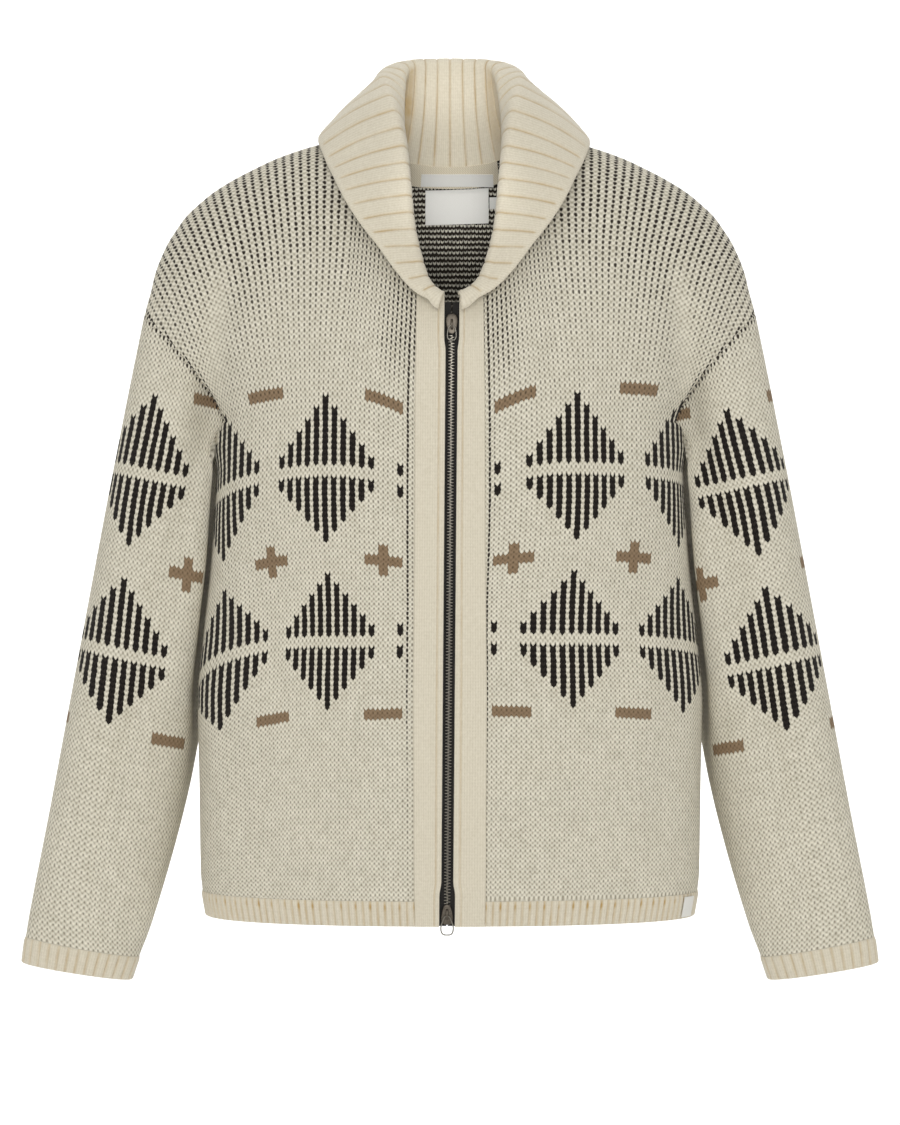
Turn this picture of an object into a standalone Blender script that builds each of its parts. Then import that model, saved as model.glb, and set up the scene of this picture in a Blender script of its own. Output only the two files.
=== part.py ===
"""A knitted zip cardigan with a turned-down rib collar, worn on nobody: every panel keeps its worn form.

Metres, +Z up, the front faces -Y and +X is the wearer's left. The origin is midway between the
shoulders. Panels are laid out in wales, the upright columns of stitches counted from the centre.
"""

import math

import bpy
import numpy as np

for leftover in list(bpy.data.objects):
    bpy.data.objects.remove(leftover, do_unlink=True)

WALL = 0.003
GAP = 0.0003
FRONT, BACK = -1, 1

SIDE_WALE = 67.5
ARM_WALE = 57.5
NECK_WALE = 23.6
BAND_WALE = 7.6

HEM = -0.679
RIB_TOP = -0.657
CHEST = -0.245
UNDERARM = -0.263
RIDGE_DEPTH = 0.005
BODY_POWER = 2.25

BODY = {
    "height": [-0.679, -0.657, -0.640, -0.560, -0.490, -0.430, -0.365, -0.300, -0.245, -0.200],
    "half_width": [0.2160, 0.2196, 0.2212, 0.2224, 0.2238, 0.2188, 0.2122, 0.2078, 0.2055, 0.2050],
    "front": [0.1085, 0.1115, 0.1130, 0.1160, 0.1180, 0.1195, 0.1210, 0.1220, 0.1225, 0.1220],
    "back": [0.1060, 0.1085, 0.1090, 0.1070, 0.1060, 0.1070, 0.1100, 0.1135, 0.1160, 0.1170],
}

SHOULDER = {
    "x": [0.0790, 0.1170, 0.1510, 0.1742, 0.1942, 0.2111, 0.2240, 0.2351, 0.2427, 0.2498, 0.2551,
          0.2596, 0.2631, 0.2654, 0.2685, 0.2716],
    "z": [0.0120, 0.0040, -0.0071, -0.0178, -0.0284, -0.0391, -0.0498, -0.0605, -0.0711, -0.0818,
          -0.0925, -0.1031, -0.1138, -0.1245, -0.1351, -0.1458],
}
NECK_DROP = 0.150
BACK_NECK_DEPTH = 0.060
BACK_NECK_HEIGHT = -0.007

SLEEVE = {
    "height": [-0.730, -0.708, -0.680, -0.600, -0.500, -0.400, -0.300, -0.200, -0.140],
    "x": [0.3320, 0.3270, 0.3196, 0.3004, 0.2790, 0.2580, 0.2370, 0.2170, 0.2052],
    "y": [0.0030, 0.0040, 0.0060, 0.0120, 0.0180, 0.0210, 0.0190, 0.0120, 0.0060],
    "half_width": [0.0490, 0.0512, 0.0540, 0.0580, 0.0612, 0.0638, 0.0658, 0.0668, 0.0660],
    "half_depth": [0.0230, 0.0265, 0.0330, 0.0430, 0.0520, 0.0560, 0.0570, 0.0560, 0.0550],
    "tilt": [9.0, 10.0, 11.5, 13.0, 12.5, 12.0, 12.0, 12.0, 12.0],
}
SLEEVE_POWER = 2.15
SLEEVE_CLEAR = 0.0045

# The collar's roll line and outer edge; 0 is centre back and 1 is the front end.
ROLL = {
    "along": [0.00, 0.10, 0.17, 0.25, 0.35, 0.45, 0.55, 0.65, 0.75, 0.84, 0.92, 1.00],
    "x": [0.0, 0.0260, 0.0410, 0.0460, 0.0460, 0.0455, 0.0430, 0.0400, 0.0367, 0.0305,
          0.0226, 0.0080],
    "y": [0.0560, 0.0560, 0.0500, 0.0300, 0.0040, -0.0260, -0.0540, -0.0780, -0.0970, -0.1120,
          -0.1220, -0.1310],
    "z": [0.0870, 0.0865, 0.0830, 0.0700, 0.0480, 0.0200, -0.0100, -0.0420, -0.0750, -0.1040,
          -0.1260, -0.1410],
}
EDGE = {
    "along": [0.00, 0.10, 0.19, 0.27, 0.34, 0.41, 0.49, 0.57, 0.65, 0.73, 0.81, 0.90, 1.00],
    "x": [0.0, 0.0400, 0.0760, 0.1030, 0.1180, 0.1185, 0.1130, 0.1050, 0.0960, 0.0820,
          0.0660, 0.0490, 0.0330],
    "y": [0.0930, 0.0900, 0.0780, 0.0480, 0.0080, -0.0260, -0.0560, -0.0780, -0.0950, -0.1070,
          -0.1160, -0.1240, -0.1300],
    "z": [-0.0220, -0.0200, -0.0120, 0.0010, 0.0100, 0.0000, -0.0160, -0.0330, -0.0520, -0.0750,
          -0.0960, -0.1160, -0.1330],
}
COLLAR_LEAN = {"height": [-0.142, -0.126, -0.100, -0.010, 0.020, 0.080],
               "shift": [0.0010, 0.0030, 0.0038, 0.0040, 0.0027, 0.0003]}
COLLAR_WALL = 0.0036
COLLAR_FOLD = 0.0065
COLLAR_RIBS = 19
COLLAR_CLEAR = 0.0052

RIB_HEIGHT = 0.0012
HEM_RIBS = 19
CUFF_RIBS = 20
CUFF_END = -0.730
CUFF_TOP = -0.708

BAND_WALL = 0.0034
BAND_RAISE = 0.0008
BAND_TOP = -0.1425
ZIP_TOP_X, ZIP_FOOT_X = 0.0017, -0.0026
ZIP_SLOT = 0.0048
TAPE_WALL = 0.0011
TAPE_REACH = 0.0150
CHAIN_HALF = 0.0028
CHAIN_THICK = 0.0026

CREAM, OAT = (0.83, 0.79, 0.69), (0.74, 0.71, 0.63)
BLACK, WHITE, STEEL = (0.03, 0.03, 0.03), (0.86, 0.86, 0.84), (0.45, 0.44, 0.42)


def unit(v):
    """Vectors of length one along the last axis."""
    v = np.asarray(v, float)
    return v / np.maximum(np.linalg.norm(v, axis=-1, keepdims=True), 1e-12)


def ease(t):
    """Zero below 0, one above 1, smooth between."""
    t = np.clip(t, 0.0, 1.0)
    return t * t * (3 - 2 * t)


def through(xs, ys, x):
    """A smooth curve through the points of a short table that never overshoots them."""
    xs, ys, x = np.asarray(xs, float), np.asarray(ys, float), np.asarray(x, float)
    step = np.diff(xs)
    rise = np.diff(ys) / step
    slope = np.concatenate([[rise[0]], np.zeros(len(xs) - 2), [rise[-1]]])
    same = rise[:-1] * rise[1:] > 0
    both = np.where(same, rise[:-1] + rise[1:], 1.0)
    slope[1:-1] = np.where(same, 2 * rise[:-1] * rise[1:] / both, 0.0)
    i = np.clip(np.searchsorted(xs, x) - 1, 0, len(xs) - 2)
    t = np.clip((x - xs[i]) / step[i], 0.0, 1.0)
    return (ys[i] * (1 + 2 * t) * (1 - t) ** 2 + step[i] * slope[i] * t * (1 - t) ** 2
            + ys[i + 1] * t * t * (3 - 2 * t) + step[i] * slope[i + 1] * t * t * (t - 1))


def column(table, key, name, at):
    """One named column of a table, read at values of its key column."""
    return through(table[key], table[name], at)


def quarter_round(power, count=121):
    """A quarter of a rounded square of half size one, from its top (0, 1) to its side (1, 0)."""
    angle = np.linspace(0.0, math.pi / 2, count)
    across, up = np.sin(angle), np.cos(angle)
    size = (across ** power + up ** power) ** (1 / power)
    return across / size, up / size


def at_shares(points, shares):
    """Points at the given shares of a polyline's length."""
    along = np.concatenate([[0], np.cumsum(np.linalg.norm(np.diff(points, axis=0), axis=1))])
    want = np.asarray(shares, float) * along[-1]
    return np.stack([np.interp(want, along, points[:, k]) for k in range(3)], axis=1)


def body_ring(height, wales, face):
    """Points of the body's section at one height, by wale from the centre to the side."""
    across, up = quarter_round(BODY_POWER)
    half = float(column(BODY, "height", "half_width", height))
    deep = float(column(BODY, "height", "front" if face == FRONT else "back", height))
    line = np.stack([half * across, face * deep * up, np.full(len(up), height)], axis=1)
    return at_shares(line, np.asarray(wales, float) / SIDE_WALE)


def chest_height(wale):
    """The height where a wale leaves the body's rings; lower under the arm."""
    return CHEST + (UNDERARM - CHEST) * float(ease((wale - ARM_WALE) / (SIDE_WALE - ARM_WALE)))


def flare(points, wale):
    """Points near the underarm seam, drawn out a little so the cloth turns into the sleeve."""
    out = 0.0045 * ease((points[:, 2] - UNDERARM + 0.026) / 0.026) * ease((wale - 50.0) / 15.0)
    return points + np.stack([out, 0 * out, 0 * out], axis=1)


def hollow(points):
    """The soft fold that runs down from the shoulder's front into the underarm, front and back."""
    x, y, z = np.abs(points[:, 0]), points[:, 1], points[:, 2]
    line = 0.2020 + 0.0075 * np.clip((-0.12 - z) / 0.15, 0, 1)
    deep = 0.0100 * ease((z + 0.290) / 0.05) * ease((-0.085 - z) / 0.07)
    sink = deep * np.exp(-(((x - line) / 0.017) ** 2)) * np.clip(np.abs(y) / 0.03, 0, 1)
    moved = points.copy()
    moved[:, 1] -= np.sign(y) * sink * np.where(y > 0, 0.7, 1.0)
    return moved


def shoulder_start(wale, face):
    """Where a wale starts: the shoulder seam, the back neck, or above the open front neck."""
    if wale >= NECK_WALE:
        line = np.stack([SHOULDER["x"], [RIDGE_DEPTH] * len(SHOULDER["x"]), SHOULDER["z"]], axis=1)
        fine = np.linspace(line[0, 0], line[-1, 0], 81)
        line = np.stack([fine, np.full(81, RIDGE_DEPTH), through(line[:, 0], line[:, 2], fine)], axis=1)
        return at_shares(line, [(wale - NECK_WALE) / (ARM_WALE - NECK_WALE)])[0]
    share = wale / NECK_WALE
    x, z = SHOULDER["x"][0] * share, SHOULDER["z"][0]
    if face == FRONT:
        return np.array([x, RIDGE_DEPTH, z])
    y = RIDGE_DEPTH + (BACK_NECK_DEPTH - RIDGE_DEPTH) * (1 - share ** 2.4)
    return np.array([x, y, z + (BACK_NECK_HEIGHT - z) * (1 - share ** 2.4)])


def neck_height(wale):
    """The height of the front neckline at a wale between the band and the shoulder."""
    share = (wale - BAND_WALE) / (NECK_WALE - BAND_WALE)
    return SHOULDER["z"][0] - NECK_DROP * (1 - np.clip(share, 0, 1)) ** 0.9


def upper_wale(wale, face, shares, top=None):
    """Points up one wale from the chest to its top, at shares of that length.

    The wale is a quarter of a rounded square standing between the chest and the shoulder.
    """
    chest = body_ring(chest_height(wale), [wale], face)[0]
    start = shoulder_start(wale, face)
    if face == FRONT:
        power = 2.3 + 0.3 * ease((wale - 20) / 25)
    else:
        power = 1.55 + 0.9 * ease((wale - 6) / 26)
    across, up = quarter_round(power)
    if top is None and face == FRONT and wale < NECK_WALE:
        top = neck_height(wale)
    if top is not None:
        stop = (top - chest[2]) / (start[2] - chest[2])
        low = np.interp(stop, up[::-1], np.linspace(1, 0, len(up)))
        index = np.linspace(low, 1, len(up)) * (len(up) - 1)
        across = np.interp(index, np.arange(len(up)), across)
        up = np.interp(index, np.arange(len(up)), up)
    line = np.stack([
        chest[0] + (start[0] - chest[0]) * up ** 1.35,
        start[1] + (chest[1] - start[1]) * across,
        chest[2] + (start[2] - chest[2]) * up,
    ], axis=1)[::-1]
    return hollow(at_shares(line, shares))


def lower_wale(wale, face, shares):
    """Points up one wale from the top of the hem rib to the chest."""
    heights = RIB_TOP + (chest_height(wale) - RIB_TOP) * np.asarray(shares, float)
    points = np.array([body_ring(h, [wale], face)[0] for h in heights])
    return hollow(flare(points, wale))


def boundary(faces):
    """The directed edges that only one face uses, as a map from start to end."""
    seen = {}
    for face in faces:
        for a, b in zip(face, face[1:] + face[:1]):
            seen[(a, b)] = True
    return {a: b for a, b in seen if (b, a) not in seen}


def face_normals(points, faces):
    """One normal a point, summed over its faces."""
    total = np.zeros_like(points)
    for face in faces:
        p = points[list(face)]
        flat = np.cross(p[2] - p[0], p[3 % len(face)] - p[1]) if len(face) == 4 else \
            np.cross(p[1] - p[0], p[2] - p[0])
        for i in face:
            total[i] += flat
    return unit(total)


class Piece:
    """A piece of cloth: its outer points, its faces, and the way out of the cloth at each point."""

    def __init__(self, points, faces, inside=(0, 0, -0.4)):
        self.points = np.asarray(points, float)
        self.faces = [tuple(int(i) for i in f) for f in faces]
        normals = face_normals(self.points, self.faces)
        if ((self.points - np.asarray(inside, float)) * normals).sum() < 0:
            self.faces = [f[::-1] for f in self.faces]
            normals = -normals
        self.normals = normals

    def mirrored(self):
        """The same piece for the other side of the body."""
        flip = np.array([-1.0, 1.0, 1.0])
        other = Piece.__new__(Piece)
        other.points, other.normals = self.points * flip, self.normals * flip
        other.faces = [f[::-1] for f in self.faces]
        return other

    def inset(self, gap):
        """Outer points with the piece's edges drawn back from its seams."""
        after = boundary(self.faces)
        before = {b: a for a, b in after.items()}
        moved = self.points.copy()
        for v, following in after.items():
            n = self.normals[v]
            ways = []
            for a, b in ((before[v], v), (v, following)):
                ways.append(unit(np.cross(n, self.points[b] - self.points[a])))
            share = max(0.35, 1 + float(ways[0] @ ways[1]))
            moved[v] += gap * (ways[0] + ways[1]) / share
        return moved


def share_seam(first, first_at, second, second_at):
    """Gives two pieces the same points and the same way out along a seam that they share."""
    way = unit(first.normals[first_at] + second.normals[second_at])
    first.normals[first_at] = way
    second.normals[second_at] = way
    second.points[second_at] = first.points[first_at]


def material(name, colour, metal=0.0, rough=0.9):
    """A plain Principled material."""
    made = bpy.data.materials.new(name)
    made.use_nodes = True
    made.diffuse_color = (*colour, 1.0)
    shader = made.node_tree.nodes["Principled BSDF"]
    shader.inputs["Base Color"].default_value = (*colour, 1.0)
    shader.inputs["Metallic"].default_value = metal
    shader.inputs["Roughness"].default_value = rough
    return made


def solid(name, points, faces, colour, metal=0.0, rough=0.9):
    """One named object from points and faces, each with its own material."""
    mesh = bpy.data.meshes.new(name)
    mesh.from_pydata([tuple(map(float, p)) for p in points], [], [tuple(f) for f in faces])
    mesh.update()
    made = bpy.data.objects.new(name, mesh)
    made.data.materials.append(material(name + "_finish", colour, metal, rough))
    bpy.context.scene.collection.objects.link(made)
    return made


def rim(points, faces, n):
    """The wall's rim: two triangles an edge, split the same way on both sides of a seam."""
    made = []
    for a, b in boundary(faces).items():
        if tuple(np.round(points[a][::-1], 4)) > tuple(np.round(points[b][::-1], 4)):
            made += [(b, a, n + b), (a, n + a, n + b)]
        else:
            made += [(b, a, n + a), (b, n + a, n + b)]
    return made


def cloth(name, piece, colour, wall=WALL, gap=GAP / 2, raised=None, metal=0.0, rough=0.9):
    """A closed wall of cloth: the piece's outer points, the same points moved in, and its rims."""
    outer = piece.inset(gap)
    inner = outer - piece.normals * wall
    if raised is not None:
        outer = outer + piece.normals * np.asarray(raised)[:, None]
    n = len(outer)
    faces = list(piece.faces) + [tuple(n + i for i in f[::-1]) for f in piece.faces]
    faces += rim(piece.points, piece.faces, n)
    return solid(name, np.vstack([outer, inner]), faces, colour, metal, rough)


def grid_faces(rows, columns, start=0, around=False):
    """Faces of a grid of points stored row by row."""
    last = columns if around else columns - 1
    return [(start + r * columns + c, start + r * columns + (c + 1) % columns,
             start + (r + 1) * columns + (c + 1) % columns, start + (r + 1) * columns + c)
            for r in range(rows - 1) for c in range(last)]


def box_lattice(xs, ys, zs, filled):
    """Closed faces round the filled cells of a lattice, so that joined boxes make one body."""
    index, points, faces = {}, [], []

    def point(i, j, k):
        if (i, j, k) not in index:
            index[(i, j, k)] = len(points)
            points.append((xs[i], ys[j], zs[k]))
        return index[(i, j, k)]

    sides = {
        (-1, 0, 0): ((0, 0, 0), (0, 0, 1), (0, 1, 1), (0, 1, 0)),
        (1, 0, 0): ((1, 0, 0), (1, 1, 0), (1, 1, 1), (1, 0, 1)),
        (0, -1, 0): ((0, 0, 0), (1, 0, 0), (1, 0, 1), (0, 0, 1)),
        (0, 1, 0): ((0, 1, 0), (0, 1, 1), (1, 1, 1), (1, 1, 0)),
        (0, 0, -1): ((0, 0, 0), (0, 1, 0), (1, 1, 0), (1, 0, 0)),
        (0, 0, 1): ((0, 0, 1), (1, 0, 1), (1, 1, 1), (0, 1, 1)),
    }
    for cell in sorted(filled):
        for way, corners in sides.items():
            if tuple(np.add(cell, way)) not in filled:
                faces.append(tuple(point(*np.add(cell, c)) for c in corners))
    return np.array(points), faces


LOWER_ROWS = 11
UPPER_ROWS = 10
BIND_WALES = [60.8, 64.2, SIDE_WALE]
FRONT_WALES = [BAND_WALE, 11.6, 15.6, 19.6, NECK_WALE, 29.2, 35.0, 41.0, 46.5, 51.0, 54.5, ARM_WALE]
BACK_WALES = [0.0, 6.0, 12.0, 18.0] + FRONT_WALES[4:]


def half_panel(face, wales):
    """Points and faces of half a panel, from its first wale to the side seam, and where its seams lie."""
    every = wales + BIND_WALES
    low = [lower_wale(w, face, np.linspace(0, 1, LOWER_ROWS)) for w in every]
    high = [upper_wale(w, face, np.linspace(0, 1, UPPER_ROWS))[1:] for w in wales]
    points = np.array([low[c][r] for r in range(LOWER_ROWS) for c in range(len(every))])
    faces = grid_faces(LOWER_ROWS, len(every))
    start, wide = len(points), len(wales)
    points = np.vstack([points, [high[c][r] for r in range(UPPER_ROWS - 1) for c in range(wide)]])
    chest = (LOWER_ROWS - 1) * len(every)
    faces += [(chest + c, chest + c + 1, start + c + 1, start + c) for c in range(wide - 1)]
    faces += grid_faces(UPPER_ROWS - 1, wide, start)
    seams = {
        "hem": list(range(len(every))),
        "side": [r * len(every) + len(every) - 1 for r in range(LOWER_ROWS)],
        "centre": [r * len(every) for r in range(LOWER_ROWS)]
        + [start + r * wide for r in range(UPPER_ROWS - 1)],
        "top": [start + (UPPER_ROWS - 2) * wide + c for c in range(wide)],
        "armhole": [start + r * wide + wide - 1 for r in range(UPPER_ROWS - 2, -1, -1)]
        + [chest + wide - 1] + [chest + wide + c for c in range(len(BIND_WALES))],
    }
    return points, faces, seams


front_points, front_faces, front_seams = half_panel(FRONT, FRONT_WALES)
front_half = Piece(front_points, front_faces)
back_points, back_faces, back_seams = half_panel(BACK, BACK_WALES)
back_half = Piece(back_points, back_faces)
neck_count = FRONT_WALES.index(NECK_WALE)
share_seam(front_half, front_seams["side"], back_half, back_seams["side"])
share_seam(front_half, front_seams["top"][neck_count:], back_half,
           back_seams["top"][BACK_WALES.index(NECK_WALE):])


def sleeve_ring(height, angle):
    """A point round the arm. Angle 0 is the outer side, a quarter turn on is the front."""
    x, y, half, deep, tilt = (float(column(SLEEVE, "height", k, height))
                              for k in ("x", "y", "half_width", "half_depth", "tilt"))
    c, s = math.cos(angle), math.sin(angle)
    size = (abs(c) ** SLEEVE_POWER + abs(s) ** SLEEVE_POWER) ** (1 / SLEEVE_POWER)
    out, lean = half * c / size, math.radians(tilt)
    return np.array([x + out * math.cos(lean), y - deep * s / size, height + out * math.sin(lean)])


def beside_body(point):
    """A sleeve point kept just clear of the body's side below the underarm."""
    x, y, z = point
    edge = UNDERARM + (CHEST - UNDERARM) * float(ease(abs(y) / 0.046))
    if z > edge:
        return point
    half = float(column(BODY, "height", "half_width", z))
    deep = float(column(BODY, "height", "front" if y < 0 else "back", z))
    side = half * max(0.0, 1 - min(1.0, abs(y) / deep) ** BODY_POWER) ** (1 / BODY_POWER)
    side += 0.0045 * float(ease((z - UNDERARM + 0.026) / 0.026)) * float(ease(1 - abs(y) / 0.06))
    least = side + 0.0012 + (SLEEVE_CLEAR - 0.0012) * float(ease((edge - z) / 0.02))
    over = (x - least) / 0.004
    soft = 0.004 * (math.log1p(math.exp(over)) if over < 20 else over)
    return np.array([least + soft if abs(y) < deep else x, y, z])


def sleeve_grid(loop, shares):
    """Rows of points down a sleeve that starts at the armhole loop and eases into the arm's tube."""
    steps = np.linalg.norm(np.diff(np.vstack([loop, loop[:1]]), axis=0), axis=1)
    along = np.concatenate([[0], np.cumsum(steps)])
    half = len(loop) // 2
    angles = np.where(np.arange(len(loop)) <= half, along[:-1] / along[half] * math.pi,
                      math.pi + (along[:-1] - along[half]) / (along[-1] - along[half]) * math.pi)
    rows = []
    for share in shares:
        row = []
        for point, angle in zip(loop, angles):
            lean = math.radians(float(column(SLEEVE, "height", "tilt", point[2])))
            out = float(column(SLEEVE, "height", "half_width", point[2])) * math.cos(angle)
            first = min(-0.142, point[2] - out * math.sin(lean))
            pull = 1 - float(ease(share / 0.30))
            here = sleeve_ring(first + share * (CUFF_TOP - first), angle)
            here = here + (point - sleeve_ring(first, angle)) * pull
            if share > 0:
                here = hollow(beside_body(here)[None])[0]
            row.append(here)
        rows.append(row)
    rows[0] = [list(p) for p in loop]
    return np.array(rows)


loop = np.vstack([front_half.points[front_seams["armhole"]],
                  back_half.points[back_seams["armhole"][1:-1]][::-1]])
ROUND = len(loop)
SLEEVE_ROWS = [0.0, 0.025, 0.055, 0.09, 0.12, 0.17, 0.23, 0.30, 0.38, 0.47, 0.57, 0.67, 0.78, 0.89, 1.0]
rows = sleeve_grid(loop, SLEEVE_ROWS)
sleeve = Piece(rows.reshape(-1, 3), grid_faces(len(SLEEVE_ROWS), ROUND, around=True),
               inside=(0.26, 0.02, -0.42))
first_front = list(range(len(front_seams["armhole"])))
share_seam(front_half, front_seams["armhole"], sleeve, first_front)
first_back = [0] + [ROUND - 1 - k for k in range(len(back_seams["armhole"]) - 2)] + [len(first_front) - 1]
share_seam(back_half, back_seams["armhole"], sleeve, first_back)
front_half.normals[front_seams["armhole"]] = sleeve.normals[first_front]
cuff_row = list(range((len(SLEEVE_ROWS) - 1) * ROUND, len(SLEEVE_ROWS) * ROUND))
lean = math.radians(float(column(SLEEVE, "height", "tilt", CUFF_TOP)))
down = np.array([math.sin(lean), 0.0, -math.cos(lean)])
flat = sleeve.normals[cuff_row] - (sleeve.normals[cuff_row] @ down)[:, None] * down
sleeve.normals[cuff_row] = unit(flat)

for piece, seams in ((front_half, front_seams), (back_half, back_seams)):
    level = piece.normals[seams["hem"]].copy()
    level[:, 2] = 0.0
    piece.normals[seams["hem"]] = unit(level)

# The two halves of the back are one panel, joined down its centre wale.
centre = back_seams["centre"]
for i in centre:
    back_half.normals[i][0] = 0.0
back_half.normals = unit(back_half.normals)
count = len(back_half.points)
renamed = {i: (i if i in set(centre) else count + i) for i in range(count)}
both = Piece.__new__(Piece)
flip = np.array([-1.0, 1.0, 1.0])
both.points = np.vstack([back_half.points, back_half.points * flip])
both.normals = np.vstack([back_half.normals, back_half.normals * flip])
both.faces = back_half.faces + [tuple(renamed[i] for i in f[::-1]) for f in back_half.faces]
used = sorted({i for f in both.faces for i in f})
place = {old: new for new, old in enumerate(used)}
both.points, both.normals = both.points[used], both.normals[used]
both.faces = [tuple(place[i] for i in f) for f in both.faces]

# The neck seam, from centre back round one side to the front end at the zip.
neck_points = [back_half.points[i] for i in back_seams["top"][:BACK_WALES.index(NECK_WALE)]]
neck_ways = [back_half.normals[i] for i in back_seams["top"][:BACK_WALES.index(NECK_WALE)]]
for i in reversed(front_seams["top"][:neck_count + 1]):
    neck_points.append(front_half.points[i])
    neck_ways.append(front_half.normals[i])
neck_points, neck_ways = np.array(neck_points), np.array(neck_ways)
outward = unit(neck_points * [1.0, 1.0, 0.0] + [1e-6, 0.0, 0.0])
neck_ways = unit(neck_ways + outward)
neck_ways[0][0] = 0.0
for k, i in enumerate(back_seams["top"][:BACK_WALES.index(NECK_WALE)]):
    back_half.normals[i] = neck_ways[k]
    both.normals[place[i]] = neck_ways[k]
    if renamed[i] in place:
        both.normals[place[renamed[i]]] = neck_ways[k] * flip
at_neck = BACK_WALES.index(NECK_WALE)
back_half.normals[back_seams["top"][at_neck]] = neck_ways[at_neck]
both.normals[place[back_seams["top"][at_neck]]] = neck_ways[at_neck]
both.normals[place[renamed[back_seams["top"][at_neck]]]] = neck_ways[at_neck] * flip
for k, i in enumerate(reversed(front_seams["top"][:neck_count + 1])):
    front_half.normals[i] = neck_ways[at_neck + k]

cloth("front_left", front_half, OAT)
cloth("front_right", front_half.mirrored(), OAT)
cloth("back", both, OAT)
cloth("sleeve_left", sleeve, OAT)
cloth("sleeve_right", sleeve.mirrored(), OAT)


def rib_shares(ribs):
    """Places along a rib fabric, and how far each is raised: three to a rib, with a narrow groove."""
    places, raised = [], []
    for k in range(ribs):
        places += [k / ribs, (k + 0.17) / ribs, (k + 0.83) / ribs]
        raised += [0.0, RIB_HEIGHT, RIB_HEIGHT]
    return places + [1.0], raised + [0.0]


def hem_rib(face, ribs, first):
    """Half of the hem's rib, from a wale near the centre to the side seam."""
    shares, raised = rib_shares(ribs)
    wales = [first + (SIDE_WALE - first) * s for s in shares]
    points = np.vstack([body_ring(h, wales, face) for h in (HEM, RIB_TOP)])
    piece = Piece(points, grid_faces(2, len(wales)))
    piece.normals[:, 2] = 0.0
    piece.normals[[len(wales) - 1, 2 * len(wales) - 1]] = (1.0, 0.0, 0.0)
    if first == 0:
        piece.normals[[0, len(wales)]] = (0.0, face, 0.0)
    piece.normals = unit(piece.normals)
    return piece, np.array(raised * 2)


rib_piece, rib_raised = hem_rib(FRONT, HEM_RIBS, BAND_WALE)
cloth("hem_rib_front_left", rib_piece, CREAM, raised=rib_raised)
cloth("hem_rib_front_right", rib_piece.mirrored(), CREAM, raised=rib_raised)

rib_piece, rib_raised = hem_rib(BACK, HEM_RIBS + 2, 0)
wide = len(rib_piece.points) // 2
order = [wide - 1 - k for k in range(wide)] + list(range(1, wide))
side_of = np.array([[-1.0, 1.0, 1.0]] * (wide - 1) + [[1.0, 1.0, 1.0]] * wide)
points = np.vstack([rib_piece.points[[r * wide + k for k in order]] * side_of for r in (0, 1)])
whole = Piece(points, grid_faces(2, 2 * wide - 1))
whole.normals = np.vstack([rib_piece.normals[[r * wide + k for k in order]] * side_of for r in (0, 1)])
cloth("hem_rib_back", whole, CREAM, raised=np.array([rib_raised[k] for k in order] * 2))

shares, raised = rib_shares(CUFF_RIBS)
shares, raised = shares[:-1], raised[:-1]
cuff_points = []
for height in (CUFF_END, CUFF_TOP):
    ring = np.array([sleeve_ring(height, 2 * math.pi * k / 240) for k in range(241)])
    cuff_points.append(at_shares(ring, shares))
cuff = Piece(np.vstack(cuff_points), grid_faces(2, len(shares), around=True), inside=(0.33, 0.0035, -0.719))
for row, height in enumerate((CUFF_END, CUFF_TOP)):
    lean = math.radians(float(column(SLEEVE, "height", "tilt", height)))
    down = np.array([math.sin(lean), 0.0, -math.cos(lean)])
    part = slice(row * len(shares), (row + 1) * len(shares))
    cuff.normals[part] = unit(cuff.normals[part] - (cuff.normals[part] @ down)[:, None] * down)
cloth("cuff_left", cuff, CREAM, raised=raised * 2)
cloth("cuff_right", cuff.mirrored(), CREAM, raised=raised * 2)


def zip_x(height):
    """Where the zip's centre line runs at a height; it leans a little."""
    share = (height - BAND_TOP) / (HEM - BAND_TOP)
    return ZIP_TOP_X + (ZIP_FOOT_X - ZIP_TOP_X) * share


def front_place(x, height):
    """A point of the front's outer surface near the centre, at an x and a height."""
    if height <= CHEST:
        wales = np.linspace(0, 12, 25)
        ring = body_ring(height, wales, FRONT)
        return np.array([x, np.interp(abs(x), ring[:, 0], ring[:, 1]), height])
    wales = np.linspace(0.4, 12, 13)
    ring = np.array([upper_wale(w, FRONT, [1.0], top=height)[0] for w in wales])
    return np.array([x, np.interp(abs(x), ring[:, 0], ring[:, 1]), height])


BAND_HEIGHTS = list(np.linspace(HEM, RIB_TOP, 2)) + list(np.linspace(RIB_TOP, CHEST, 9)[1:]) \
    + list(np.linspace(CHEST, BAND_TOP, 6)[1:])
band_edge = {}
for h in BAND_HEIGHTS:
    if h <= CHEST:
        band_edge[h] = float(body_ring(h, [BAND_WALE], FRONT)[0][0])
    else:
        band_edge[h] = float(upper_wale(BAND_WALE, FRONT, [1.0], top=h)[0][0])


def front_strip(heights, spans, forward):
    """Rows of points up the front between two x values a row, moved forward of the surface."""
    rows = []
    for height, xs in zip(heights, spans):
        here = np.array([front_place(x, height) for x in xs])
        here[:, 1] -= np.asarray(forward)
        rows.append(here)
    return np.array(rows)


def slot(height):
    """Half the width of the slot between the bands; a little wider at the sliders."""
    at_top, at_foot = float(ease((height + 0.186) / 0.012)), float(ease((-0.640 - height) / 0.012))
    return ZIP_SLOT + 0.0013 * at_top + 0.0016 * at_foot


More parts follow.
